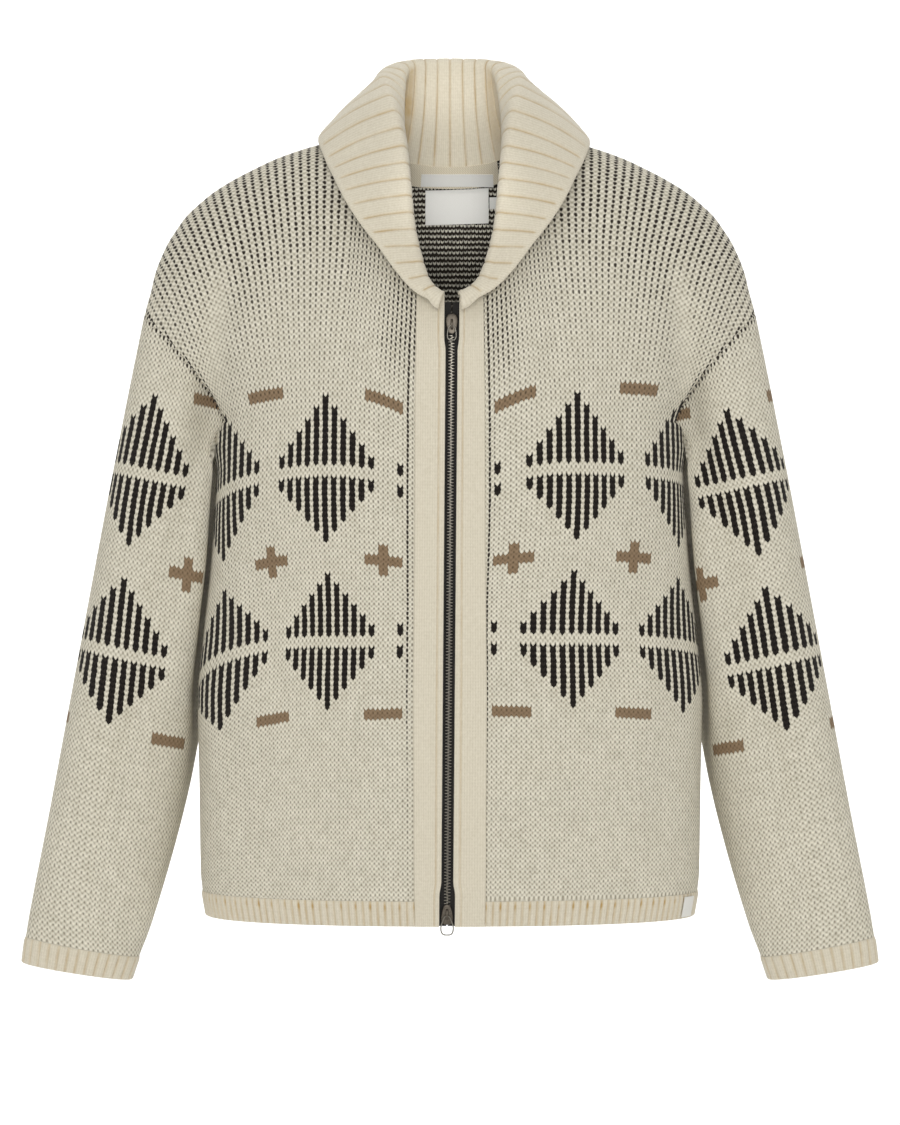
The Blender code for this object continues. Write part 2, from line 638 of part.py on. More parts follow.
def band_piece(side):
    """A front band from its panel's edge to the slot beside the zip, with a crease near the slot."""
    spans = []
    for h in BAND_HEIGHTS:
        outer, inner = side * band_edge[h], zip_x(h) + side * slot(h)
        spans.append([outer, outer - side * 0.0012, inner + side * 0.0062, inner + side * 0.0054,
                      inner + side * 0.0046, inner + side * 0.0012, inner])
    shape = [0.0, BAND_RAISE, BAND_RAISE, 0.0, BAND_RAISE, BAND_RAISE, -0.0008]
    points = front_strip(BAND_HEIGHTS, spans, shape)
    piece = Piece(points.reshape(-1, 3), grid_faces(len(BAND_HEIGHTS), 7))
    piece.normals[:] = unit(piece.normals * [0.25, 1.0, 0.0])
    rows = [r * 7 for r in range(len(BAND_HEIGHTS))]
    panel = front_half if side > 0 else front_half.mirrored()
    piece.normals[rows] = unit(np.array([
        panel.normals[front_seams["centre"][min(range(len(front_seams["centre"])), key=lambda k: abs(
            panel.points[front_seams["centre"][k], 2] - h))]] for h in BAND_HEIGHTS]) * [1, 1, 0])
    return piece


cloth("front_band_left", band_piece(1), CREAM, wall=BAND_WALL)
cloth("front_band_right", band_piece(-1), CREAM, wall=BAND_WALL)

TOP_SLIDER, FOOT_SLIDER = -0.1625, -0.6690
SLIDER_LONG, SLIDER_WIDE, POST = 0.0175, 0.0052, 0.0028
CHAIN_TOP = TOP_SLIDER + SLIDER_LONG / 2 - POST - 0.0012
CHAIN_FOOT = FOOT_SLIDER - SLIDER_LONG / 2 + POST + 0.0012
TAPE_BACK = BAND_WALL + 0.0009
TAPE_TOP = BAND_TOP - 0.0012


def tape_piece(side):
    """A zip tape behind its band, with half the chain as a bead along its inner edge."""
    heights = [HEM + 0.0004, CHAIN_FOOT, CHAIN_FOOT + 0.0015] \
        + [h for h in BAND_HEIGHTS if CHAIN_FOOT + 0.003 < h < CHAIN_TOP - 0.004] \
        + [CHAIN_TOP - 0.0015, CHAIN_TOP, TAPE_TOP]
    spans, rows = [], []
    for h in heights:
        apart = 0.00018 if CHAIN_FOOT + 0.001 < h < CHAIN_TOP - 0.001 else 0.0024
        inner = zip_x(h) + side * apart
        spans.append([inner, inner + side * CHAIN_HALF, inner + side * (CHAIN_HALF + 0.0008),
                      inner + side * (TAPE_REACH - apart)])
    half = (CHAIN_THICK - TAPE_WALL) / 2
    points = front_strip(heights, spans, [-TAPE_BACK] * 4)
    beads = np.array([half if CHAIN_FOOT + 0.001 < h < CHAIN_TOP - 0.001 else 0.0 for h in heights])
    outer = points.copy()
    inner = points.copy()
    inner[:, :, 1] += TAPE_WALL
    outer[:, :2, 1] -= beads[:, None]
    inner[:, :2, 1] += beads[:, None]
    piece = Piece(points.reshape(-1, 3), grid_faces(len(heights), 4))
    n = len(points.reshape(-1, 3))
    faces = list(piece.faces) + [tuple(n + i for i in f[::-1]) for f in piece.faces]
    faces += [(b, a, n + a, n + b) for a, b in boundary(piece.faces).items()]
    return np.vstack([outer.reshape(-1, 3), inner.reshape(-1, 3)]), faces


for name, side in (("zip_tape_left", 1), ("zip_tape_right", -1)):
    points, faces = tape_piece(side)
    solid(name, points, faces, BLACK)


def zip_frame(height):
    """The zip's middle at a height, with its ways across, back and up."""
    low, high = (front_place(zip_x(h), h) for h in (height - 0.006, height + 0.006))
    up = unit((high - low) * [0.0, 1.0, 1.0])
    across = np.array([1.0, 0.0, 0.0])
    back = np.cross(up, across)
    middle = front_place(zip_x(height), height) + back * (TAPE_BACK + TAPE_WALL / 2)
    return middle, across, back, up


PLATE, CHAIN_SPACE = 0.0012, 0.0018
ARCH_SPACE, ARCH_BAR, ARCH_HALF = 0.0021, 0.0010, 0.0011
WIRE = 0.0006
RING_POWER = 3.2


def slider(name, height, upside):
    """A zip slider: two plates joined by a post, with an arch on the front plate for its pull."""
    xs = [-SLIDER_WIDE, -ARCH_HALF, ARCH_HALF, SLIDER_WIDE]
    plate = CHAIN_SPACE + PLATE
    ys = [-plate - ARCH_SPACE - ARCH_BAR, -plate - ARCH_SPACE, -plate, -CHAIN_SPACE, CHAIN_SPACE, plate]
    zs = [-0.5 * SLIDER_LONG, -0.0050, -0.0035, 0.0025, 0.0040, 0.5 * SLIDER_LONG - POST,
          0.5 * SLIDER_LONG]
    filled = {(i, j, k) for i in range(3) for j in (2, 4) for k in range(6)}
    filled |= {(1, 3, 5), (1, 1, 1), (1, 1, 3)} | {(1, 0, k) for k in (1, 2, 3)}
    points, faces = box_lattice(xs, ys, zs, filled)
    share = (points[:, 2] + SLIDER_LONG / 2) / SLIDER_LONG
    wide = np.abs(points[:, 0]) > ARCH_HALF + 1e-6
    points[:, 0] = np.where(wide, points[:, 0] * (0.70 + 0.30 * ease(share * 1.4)), points[:, 0])
    points[:, 2] *= upside
    if upside < 0:
        faces = [f[::-1] for f in faces]
    middle, across, back, up = zip_frame(height)
    placed = middle + points[:, :1] * across + points[:, 1:2] * back + points[:, 2:] * up
    solid(name, placed, faces, STEEL, 1.0, 0.35)
    hook = (-0.0035 if upside > 0 else -0.0025) + WIRE + 0.0010
    return middle + back * (-plate - ARCH_SPACE / 2) + up * hook, up


def pull_ring(name, hook, top_half, half_width, drop):
    """A ring of wire that hangs from a slider's arch by its narrow top side."""
    pivot, up = hook
    count, sides = 20, 6
    turns = [2 * math.pi * k / count for k in range(count)]
    path = []
    for angle in turns:
        c, s = math.cos(angle), math.sin(angle)
        size = (abs(c) ** RING_POWER + abs(s) ** RING_POWER) ** (1 / RING_POWER)
        fall = (1 - c / size) / 2
        half = top_half + (half_width - top_half) * float(ease(1.5 * fall))
        path.append([half * s / size, -drop * fall])
    path = np.array(path)
    ahead = unit(np.roll(path, -1, axis=0) - np.roll(path, 1, axis=0))
    points = []
    for (x, z), (dx, dz) in zip(path, ahead):
        for j in range(sides):
            turn = 2 * math.pi * j / sides
            side, front = WIRE * math.cos(turn), WIRE * math.sin(turn)
            points.append(pivot + np.array([x - dz * side, 0.0, 0.0]) + up * (z + dx * side)
                          + np.cross(up, [1.0, 0.0, 0.0]) * front)
    faces = [(k * sides + j, k * sides + (j + 1) % sides, (k + 1) % count * sides + (j + 1) % sides,
              (k + 1) % count * sides + j) for k in range(count) for j in range(sides)]
    points = np.array(points)
    ring_middle = np.repeat([pivot + [x, 0, 0] + up * z for x, z in path], sides, axis=0)
    if ((points - ring_middle) * face_normals(points, faces)).sum() < 0:
        faces = [f[::-1] for f in faces]
    solid(name, points, faces, STEEL, 1.0, 0.3)


top_hook = slider("zip_slider_top", TOP_SLIDER, 1)
foot_hook = slider("zip_slider_bottom", FOOT_SLIDER, -1)
pull_ring("zip_pull_top", top_hook, 0.0030, 0.0038, 0.0125)
pull_ring("zip_pull_bottom", foot_hook, 0.0032, 0.0054, 0.0165)


# The body's outer surface as a cloud of points with their ways out, for laying the collar on.
def surface_cloud():
    """Points all over the shoulders, chest and upper back, with the way out at each."""
    points, ways = [], []
    for face in (FRONT, BACK):
        wales = np.linspace(BAND_WALE if face == FRONT else 0.0, 50, 40)
        rows = np.array([upper_wale(w, face, np.linspace(0, 1, 40)) for w in wales])
        piece = Piece(rows.reshape(-1, 3), grid_faces(len(wales), 40))
        points.append(piece.points)
        ways.append(piece.normals)
    return np.vstack(points), np.vstack(ways)


cloud_points, cloud_ways = surface_cloud()


def laid_clear(point, clear):
    """A point moved out of the body's surface until it is clear of it."""
    away = np.array([abs(point[0]), point[1], point[2]])
    i = int(np.argmin(((cloud_points - away) ** 2).sum(1)))
    short = clear - float((away - cloud_points[i]) @ cloud_ways[i])
    if short > 0 and np.linalg.norm(away - cloud_points[i]) < 0.05:
        away = away + cloud_ways[i] * short
    return np.array([math.copysign(away[0], point[0]) if point[0] else 0.0, away[1], away[2]])


front_end = front_place(0.008, BAND_TOP + 0.0060)
neck_line = np.vstack([neck_points, front_end])
neck_out = np.vstack([neck_ways, unit([0.1, -1.0, 0.2])])
STAND_STEPS, FOLD_STEPS, FALL_STEPS = 2, 3, 3


def collar_column(share, side):
    """The middle of the collar's cloth from the neck seam, over the roll, to its outer edge."""
    along = np.concatenate([[0], np.cumsum(np.linalg.norm(np.diff(neck_line, axis=0), axis=1))])
    at = share * along[-1]
    seam = np.array([np.interp(at, along, neck_line[:, k]) for k in range(3)])
    out = unit([np.interp(at, along, neck_out[:, k]) for k in range(3)])
    roll = np.array([float(column(ROLL, "along", k, share)) for k in "xyz"])
    edge = np.array([float(column(EDGE, "along", k, share)) for k in "xyz"])
    roll[0] += side * float(column(COLLAR_LEAN, "height", "shift", roll[2])) * float(ease(share / 0.2))
    edge[0] += side * float(column(COLLAR_LEAN, "height", "shift", edge[2])) * float(ease(share / 0.2))
    edge = laid_clear(edge, COLLAR_CLEAR)
    start = seam - out * WALL / 2
    falling, rising = unit(edge - roll), unit(start - roll)
    under = unit(falling + rising)
    across = unit(out - (out @ under) * under)
    small = min(COLLAR_FOLD, 0.45 * float(np.linalg.norm(start - roll)))
    centre = roll + under * small
    low, high = centre - across * small, centre + across * small
    line = []
    for k in range(STAND_STEPS):
        t = k / STAND_STEPS
        bulge = 0.004 * math.sin(math.pi * t)
        line.append(start + (low - start) * t - across * bulge)
    for k in range(FOLD_STEPS + 1):
        turn = math.pi * k / FOLD_STEPS
        line.append(centre - across * small * math.cos(turn) - under * small * math.sin(turn))
    for k in range(1, FALL_STEPS + 1):
        t = k / FALL_STEPS
        bulge = 0.006 * math.sin(math.pi * t) * float(ease(1.15 - share))
        here = high + (edge - high) * t + across * bulge
        line.append(laid_clear(here, COLLAR_CLEAR) if t > 0.3 else here)
    line[0] = line[0] + unit(line[1] - line[0]) * 0.0004
    return np.array(line), -out


def collar():
    """The collar as one piece: the face that shows is its outer side, ribbed from neck to edge."""
    shares, raised = rib_shares(COLLAR_RIBS)
    places = [(-s, r) for s, r in zip(shares[::-1], raised[::-1])][:-1] + list(zip(shares, raised))
    columns, first = [], []
    for place_at, _ in places:
        side = 1 if place_at >= 0 else -1
        line, way = collar_column(abs(place_at), side)
        flip_x = np.array([side, 1.0, 1.0])
        columns.append(line * flip_x)
        first.append(way * flip_x)
    steps = len(columns[0])
    points = np.array([columns[c][r] for r in range(steps) for c in range(len(columns))])
    faces = grid_faces(steps, len(columns))
    piece = Piece.__new__(Piece)
    piece.points, piece.faces = points, faces
    piece.normals = face_normals(points, faces)
    middle_back = STAND_STEPS // 2 * len(columns) + len(columns) // 2
    if piece.normals[middle_back][1] > 0:
        piece.faces = [f[::-1] for f in faces]
        piece.normals = -piece.normals
    piece.normals[:len(columns)] = np.array(first)
    piece.points = piece.points + piece.normals * COLLAR_WALL / 2
    high = np.array([r for _, r in places] * steps)
    return piece, high


collar_piece, collar_raised = collar()
cloth("collar", collar_piece, CREAM, wall=COLLAR_WALL, gap=0.0, raised=collar_raised)


def on_back_inside(low_x, high_x, top, foot, lift, columns=5, rows=3, slant=0.0):
    """A patch on the inside of the back, from the panel's own points moved in past its wall."""
    lines = [upper_wale(w, BACK, np.linspace(0, 1, UPPER_ROWS)) for w in BACK_WALES[:6]]
    points = []
    for height in np.linspace(foot, top, rows):
        for x in np.linspace(low_x, high_x, columns):
            z = height + slant * (x - low_x)
            ring = np.array([[np.interp(z, line[:, 2], line[:, k]) for k in (0, 1)] for line in lines])
            points.append([x, float(np.interp(abs(x), ring[:, 0], ring[:, 1])), z])
    patch = Piece(points, grid_faces(rows, columns), inside=(0, 0.5, -0.05))
    patch.points = patch.points + patch.normals * (WALL + lift)
    return patch


cloth("neck_tape", on_back_inside(-0.040, 0.044, -0.0150, -0.0245, 0.0026, 7, 2), CREAM, wall=0.0009, gap=0)
cloth("neck_tape_label", on_back_inside(-0.0270, 0.0400, -0.0160, -0.0232, 0.0038, 7, 2), WHITE,
      wall=0.0006, gap=0)
cloth("neck_label", on_back_inside(-0.0228, 0.0356, -0.0262, -0.0575, 0.0016, 7, 4, 0.03), WHITE,
      wall=0.0008, gap=0)
cloth("size_label", on_back_inside(0.0364, 0.0440, -0.0330, -0.0430, 0.0016, 2, 2, 0.03), WHITE,
      wall=0.0007, gap=0)

label_ring = [body_ring(h, [54.6, 56.6, 58.6], FRONT) for h in (-0.6765, -0.6590)]
label = Piece(np.vstack(label_ring), grid_faces(2, 3))
label.points = label.points + label.normals * (RIB_HEIGHT + 0.0014)
cloth("hem_label", label, WHITE, wall=0.0008, gap=0)
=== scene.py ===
"""The looks of a knitted zip cardigan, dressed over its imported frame.

Metres, +Z up, the front faces -Y and +X is the wearer's left. Cloth is laid out in stitches: a wale is an
upright column of them, counted out from the centre front, and a course is a row, counted down from the tip
of the upper lozenges. Every mesh carries that count as its UV map, so the pattern follows the cloth.
"""

import logging
import math
from dataclasses import dataclass, field
from enum import Enum

import bpy
import numpy as np
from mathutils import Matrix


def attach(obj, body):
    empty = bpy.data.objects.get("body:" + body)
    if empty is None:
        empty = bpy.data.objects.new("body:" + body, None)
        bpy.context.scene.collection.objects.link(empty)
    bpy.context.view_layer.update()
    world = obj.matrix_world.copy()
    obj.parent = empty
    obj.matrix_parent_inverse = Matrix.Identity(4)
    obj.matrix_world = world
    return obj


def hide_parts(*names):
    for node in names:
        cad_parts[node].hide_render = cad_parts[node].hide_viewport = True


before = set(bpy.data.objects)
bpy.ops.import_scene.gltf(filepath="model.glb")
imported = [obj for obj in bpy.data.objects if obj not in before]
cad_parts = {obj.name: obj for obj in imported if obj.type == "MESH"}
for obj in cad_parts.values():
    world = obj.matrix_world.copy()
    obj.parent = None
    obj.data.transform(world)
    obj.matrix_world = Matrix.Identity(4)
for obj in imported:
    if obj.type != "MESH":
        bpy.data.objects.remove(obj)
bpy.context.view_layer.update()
log = logging.getLogger("cardigan")
Array = np.ndarray
Socket, Material, Piece = bpy.types.NodeSocket, bpy.types.Material, bpy.types.Object
Table = dict[str, tuple[float, ...]]
Point = tuple[float, float, float]
Value = float | str | tuple[float, ...] | Socket

HEM, RIB_TOP, CHEST, UNDERARM = -0.679, -0.657, -0.245, -0.263
CUFF_FOOT, CUFF_TOP = -0.730, -0.708
WALL = 0.003
RIB_HEIGHT, RIB_WALE, RIB_COURSE = 0.0012, 0.0022, 0.0028
COURSE, SLEEVE_COURSE = 0.00505, 0.0049


class Face(Enum):
    """Which half of the body a panel covers."""

    FRONT = -1
    BACK = 1


class Side(Enum):
    """The wearer's left and right, by the sign of X."""

    LEFT = 1
    RIGHT = -1

    @property
    def word(self) -> str:
        """The side's name as the pieces use it."""
        return self.name.lower()


def unit(vectors: Array) -> Array:
    """Vectors of length one along the last axis."""
    vectors = np.asarray(vectors, float)
    return vectors / np.maximum(np.linalg.norm(vectors, axis=-1, keepdims=True), 1e-12)


def ease(t: Array | float) -> Array:
    """Zero below 0, one above 1, and 3t^2 - 2t^3 between."""
    t = np.clip(t, 0.0, 1.0)
    return t * t * (3 - 2 * t)


def through(xs: Array, ys: Array, x: Array | float) -> Array:
    """A smooth curve through a short table that never overshoots it.

    Args:
        xs: The rising keys.
        ys: A value for each key.
        x: Where to read the curve.

    Returns:
        The cubic between neighbouring keys, its slopes the harmonic mean of the rises beside them.
    """
    xs, ys, x = np.asarray(xs, float), np.asarray(ys, float), np.asarray(x, float)
    step = np.diff(xs)
    rise = np.diff(ys) / step
    slope = np.concatenate([[rise[0]], np.zeros(len(xs) - 2), [rise[-1]]])
    same = rise[:-1] * rise[1:] > 0
    both = np.where(same, rise[:-1] + rise[1:], 1.0)
    slope[1:-1] = np.where(same, 2 * rise[:-1] * rise[1:] / both, 0.0)
    i = np.clip(np.searchsorted(xs, x) - 1, 0, len(xs) - 2)
    t = np.clip((x - xs[i]) / step[i], 0.0, 1.0)
    return (ys[i] * (1 + 2 * t) * (1 - t) ** 2 + step[i] * slope[i] * t * (1 - t) ** 2
            + ys[i + 1] * t * t * (3 - 2 * t) + step[i] * slope[i + 1] * t * t * (t - 1))


def column(table: Table, name: str, at: Array | float) -> Array:
    """One column of a table, read at values of its first column."""
    keys = table[next(iter(table))]
    return through(keys, table[name], at)


def quarter_round(power: float, count: int = 161) -> tuple[Array, Array]:
    """A quarter of a rounded square of half size one, from its top (0, 1) to its side (1, 0).

    Args:
        power: How square the outline is; 2 gives an ellipse.
        count: How many points.

    Returns:
        The x and the y of each point.
    """
    angle = np.linspace(0.0, math.pi / 2, count)
    across, up = np.sin(angle), np.cos(angle)
    size = outline(across, up, power)
    return across / size, up / size


def outline(across: Array, up: Array, power: float) -> Array:
    """How much larger a point is than a rounded square of half size one: the power mean of its parts."""
    return (np.abs(across) ** power + np.abs(up) ** power) ** (1 / power)


def face_ways(points: Array, quads: Array) -> Array:
    """The cross product of each face's diagonals, which points out of it and grows with its size."""
    p = points[quads]
    return np.cross(p[:, 2] - p[:, 0], p[:, 3] - p[:, 1])


def pairs_of(first: Array, second: Array) -> Array:
    """Two arrays spread over one grid and put side by side, as a UV map needs them."""
    return np.stack(np.broadcast_arrays(first, second), axis=-1)


def run_along(points: Array) -> Array:
    """The length run so far at each point of one or more polylines, along the last axis but one.

    Args:
        points: Points, with x, y and z along the last axis.

    Returns:
        One length a point, starting at zero.
    """
    steps = np.linalg.norm(np.diff(points, axis=-2), axis=-1)
    start = np.zeros(steps.shape[:-1] + (1,))
    return np.concatenate([start, np.cumsum(steps, axis=-1)], axis=-1)


def at_shares(points: Array, shares: Array) -> Array:
    """Points at the given shares of one polyline's length.

    Args:
        points: The polyline, (n, k).
        shares: Shares of its length.

    Returns:
        One point a share.
    """
    along = run_along(points)
    want = np.asarray(shares, float) * along[-1]
    return np.stack([np.interp(want, along, points[:, k]) for k in range(points.shape[1])], axis=1)


def read_rows(keys: Array, values: Array, at: Array) -> Array:
    """Linear reading of many small tables at once.

    Args:
        keys: One rising row of keys for each reading, (n, k).
        values: The value at each key, (n, k).
        at: Where to read each row, (n,).

    Returns:
        One value for each row, held at the row's ends.
    """
    index = np.clip((keys <= at[:, None]).sum(1) - 1, 0, keys.shape[1] - 2)
    rows = np.arange(len(at))
    low, high = keys[rows, index], keys[rows, index + 1]
    t = np.clip((at - low) / np.maximum(high - low, 1e-12), 0.0, 1.0)
    return values[rows, index] * (1 - t) + values[rows, index + 1] * t


@dataclass
class Cloth:
    """A piece of cloth: its outer points, its four-cornered faces, and its stitch count at every corner.

    speck says how far the dark yarn behind shows between the stitches, painted_groove_shade how much
    painted shade a point has in the ribs' grooves, a pressed crease or beside the collar's roll, and plain
    where no lozenge is knitted; all run from 0 to 1.
    """

    points: Array
    quads: Array
    stitches: Array
    speck: Array
    painted_groove_shade: Array | None = None
    inside: Point = (0.0, 0.0, -0.4)
    normals: Array = field(default_factory=lambda: np.zeros((0, 3)))
    plain: Array | None = None

    def __post_init__(self) -> None:
        """Works out the way out of the cloth at every point, and turns the faces to agree with it."""
        if self.painted_groove_shade is None:
            self.painted_groove_shade = np.zeros(len(self.points))
        if self.plain is None:
            self.plain = np.zeros(len(self.points))
        if len(self.normals) == 0:
            self.normals = self.way_out()
            if ((self.points - np.asarray(self.inside)) * self.normals).sum() < 0:
                self.turn_over()

    def way_out(self) -> Array:
        """One normal a point: the cross products of its faces' diagonals, summed.

        Returns:
            Unit vectors, one a point.
        """
        flat = face_ways(self.points, self.quads)
        total = np.zeros_like(self.points)
        for k in range(4):
            np.add.at(total, self.quads[:, k], flat)
        return unit(total)

    def turn_over(self) -> None:
        """Turns every face and normal the other way."""
        self.quads, self.stitches = self.quads[:, ::-1], self.stitches[:, ::-1]
        self.normals = -self.normals

    def mirrored(self) -> "Cloth":
        """The same piece for the other side of the body.

        Returns:
            A copy with x turned over and its faces still facing out.
        """
        flip = np.array([-1.0, 1.0, 1.0])
        return Cloth(self.points * flip, self.quads[:, ::-1], self.stitches[:, ::-1], self.speck.copy(),
                     self.painted_groove_shade.copy(), self.inside, self.normals * flip, self.plain.copy())

    def edges(self) -> tuple[Array, Array, Array]:
        """The edges that only one face uses, as starts, ends and the stitch count at both.

        Returns:
            One row an edge, in the order of the faces.
        """
        starts, ends = self.quads.reshape(-1), np.roll(self.quads, -1, axis=1).reshape(-1)
        count = len(self.points)
        alone = ~np.isin(starts * count + ends, ends * count + starts)
        ahead = np.roll(self.stitches, -1, axis=1).reshape(-1, 2)
        pairs = np.stack([self.stitches.reshape(-1, 2)[alone], ahead[alone]], axis=1)
        return starts[alone], ends[alone], pairs

    def drawn_in(self, gap: float) -> Array:
        """Outer points with the piece's edges drawn back from its seams by a gap.

        Args:
            gap: How far the edges are drawn back.

        Returns:
            The moved points.
        """
        starts, ends, _ = self.edges()
        way = np.cross(self.normals[starts], unit(self.points[ends] - self.points[starts]))
        total = np.zeros_like(self.points)
        np.add.at(total, starts, way)
        np.add.at(total, ends, way)
        return self.points + unit(total) * gap * (np.linalg.norm(total, axis=1) > 1e-6)[:, None]

    def tight(self, outer: Array, inner: Array) -> Array:
        """How far each point lies in a fold too tight for the wall: one where its inner faces turn over.

        Args:
            outer: The outer side's points.
            inner: The inner side's points.

        Returns:
            One number a point, spread over ten rings of neighbours and fading after two.
        """
        flips = (face_ways(outer, self.quads) * face_ways(inner, self.quads)).sum(1) < 0
        mark = np.zeros(len(outer))
        mark[self.quads[flips]] = 1.0
        for fall in (1.0, 1.0, 0.7, 0.5, 0.3, 0.3, 0.3, 0.3, 0.3, 0.3):
            most = mark[self.quads].max(axis=1) * fall
            for k in range(4):
                np.maximum.at(mark, self.quads[:, k], most)
        return mark

    def shell(self, name: str, wall: float, finishes: list[Material],
              raised: Array | None = None, fullness: Array | None = None,
              gap: float = 0.00006) -> Piece:
        """A closed wall of cloth.

        Args:
            name: The object's name.
            wall: The cloth's thickness.
            finishes: The material of the outer side, and of the inner side where that differs.
            raised: How far each outer point stands proud of the plain surface.
            fullness: The share of the wall that each point has, less than one where an edge is rounded.
            gap: How far the edges are drawn back from the seams.

        Returns:
            An object of the outer points, the same points moved in by the wall, and a rim between them.
        """
        base = self.drawn_in(gap)
        full = np.ones(len(base)) if fullness is None else fullness
        outer = base - self.normals * (wall * (1 - full) / 2)[:, None]
        inner = base - self.normals * (wall * (1 + full) / 2)[:, None]
        tight = self.tight(outer, inner)
        inner = outer - (outer - inner) * (1 - 0.85 * tight)[:, None]
        if raised is not None:
            outer = outer + self.normals * raised[:, None]
        count = len(base)
        starts, ends, pairs = self.edges()
        rim = np.stack([ends, starts, starts + count, ends + count], axis=1)
        rim_stitches = np.stack([pairs[:, 1], pairs[:, 0], pairs[:, 0], pairs[:, 1]], axis=1)
        quads = np.concatenate([self.quads, self.quads[:, ::-1] + count, rim])
        stitches = np.concatenate([self.stitches, self.stitches[:, ::-1], rim_stitches])
        lining = np.where(tight[self.quads].max(axis=1) > 0, 0, len(finishes) - 1)
        looks = np.concatenate([np.zeros(len(self.quads), int), lining, np.zeros(len(rim), int)])
        return make_mesh(name, np.concatenate([outer, inner]), quads, stitches, finishes, looks,
                         {"speck": np.tile(self.speck, 2), "painted_groove_shade": np.tile(self.painted_groove_shade, 2),
                          "plain": np.tile(self.plain, 2)})


def make_mesh(name: str, points: Array, quads: Array, stitches: Array, finishes: list[Material],
              looks: Array | None = None, marks: dict[str, Array] | None = None,
              sharp: float = 55.0) -> Piece:
    """A mesh object at the origin, smooth but for its sharp edges.

    Args:
        name: The object's name.
        points: Its points, (n, 3).
        quads: Its faces, (m, 4).
        stitches: The UV map's value at every corner, (m, 4, 2).
        finishes: Its materials.
        looks: Which material each face has.
        marks: Named numbers kept at the points.
        sharp: Edges that turn by more degrees than this stay sharp.

    Returns:
        The linked object.
    """
    mesh = bpy.data.meshes.new(name)
    mesh.from_pydata(points.tolist(), [], quads.tolist())
    mesh.uv_layers.new(name="stitch").data.foreach_set("uv", stitches.reshape(-1).astype(np.float32))
    for mark, values in (marks or {}).items():
        mesh.attributes.new(mark, "FLOAT", "POINT").data.foreach_set("value", values.astype(np.float32))
    mesh.polygons.foreach_set("use_smooth", np.ones(len(quads), bool))
    for finish in finishes:
        mesh.materials.append(finish)
    if looks is not None:
        mesh.polygons.foreach_set("material_index", looks.astype(np.int32))
    mesh.set_sharp_from_angle(angle=math.radians(sharp))
    mesh.update()
    made = bpy.data.objects.new(name, mesh)
    bpy.context.scene.collection.objects.link(made)
    return made


def grid_quads(rows: int, columns: int, around: bool = False) -> tuple[Array, Array]:
    """Faces of a grid of points stored row by row.

    Args:
        rows: How many rows.
        columns: How many points a row.
        around: Whether the last column joins the first.

    Returns:
        The faces, and for each corner its row and its column before any wrapping.
    """
    r, c = np.meshgrid(np.arange(rows - 1), np.arange(columns if around else columns - 1), indexing="ij")
    r, c = r.reshape(-1), c.reshape(-1)
    corner = np.stack([np.stack([r, c], 1), np.stack([r, c + 1], 1), np.stack([r + 1, c + 1], 1),
                       np.stack([r + 1, c], 1)], axis=1)
    return corner[..., 0] * columns + corner[..., 1] % columns, corner


def grid_cloth(points: Array, stitches: Array, speck: Array | float = 0.0, painted_groove_shade: Array | None = None,
               around: bool = False, inside: Point = (0.0, 0.0, -0.4)) -> Cloth:
    """Cloth on a grid.

    Args:
        points: (rows, columns, 3).
        stitches: (rows, columns, 2), with one more column where the grid goes around.
        speck: How far the dark yarn shows, one number or one a point.
        painted_groove_shade: How much painted shade each point has, in the ribs' grooves or a crease.
        around: Whether the last column joins the first.
        inside: A point inside the garment.

    Returns:
        The piece of cloth.
    """
    rows, columns = points.shape[:2]
    quads, corner = grid_quads(rows, columns, around)
    specks = np.broadcast_to(np.asarray(speck, float), (rows, columns)).reshape(-1)
    painted_groove_shades = None if painted_groove_shade is None else np.broadcast_to(painted_groove_shade, (rows, columns)).reshape(-1)
    return Cloth(points.reshape(-1, 3), quads, stitches[corner[..., 0], corner[..., 1]], specks.copy(),
                 painted_groove_shades, inside)


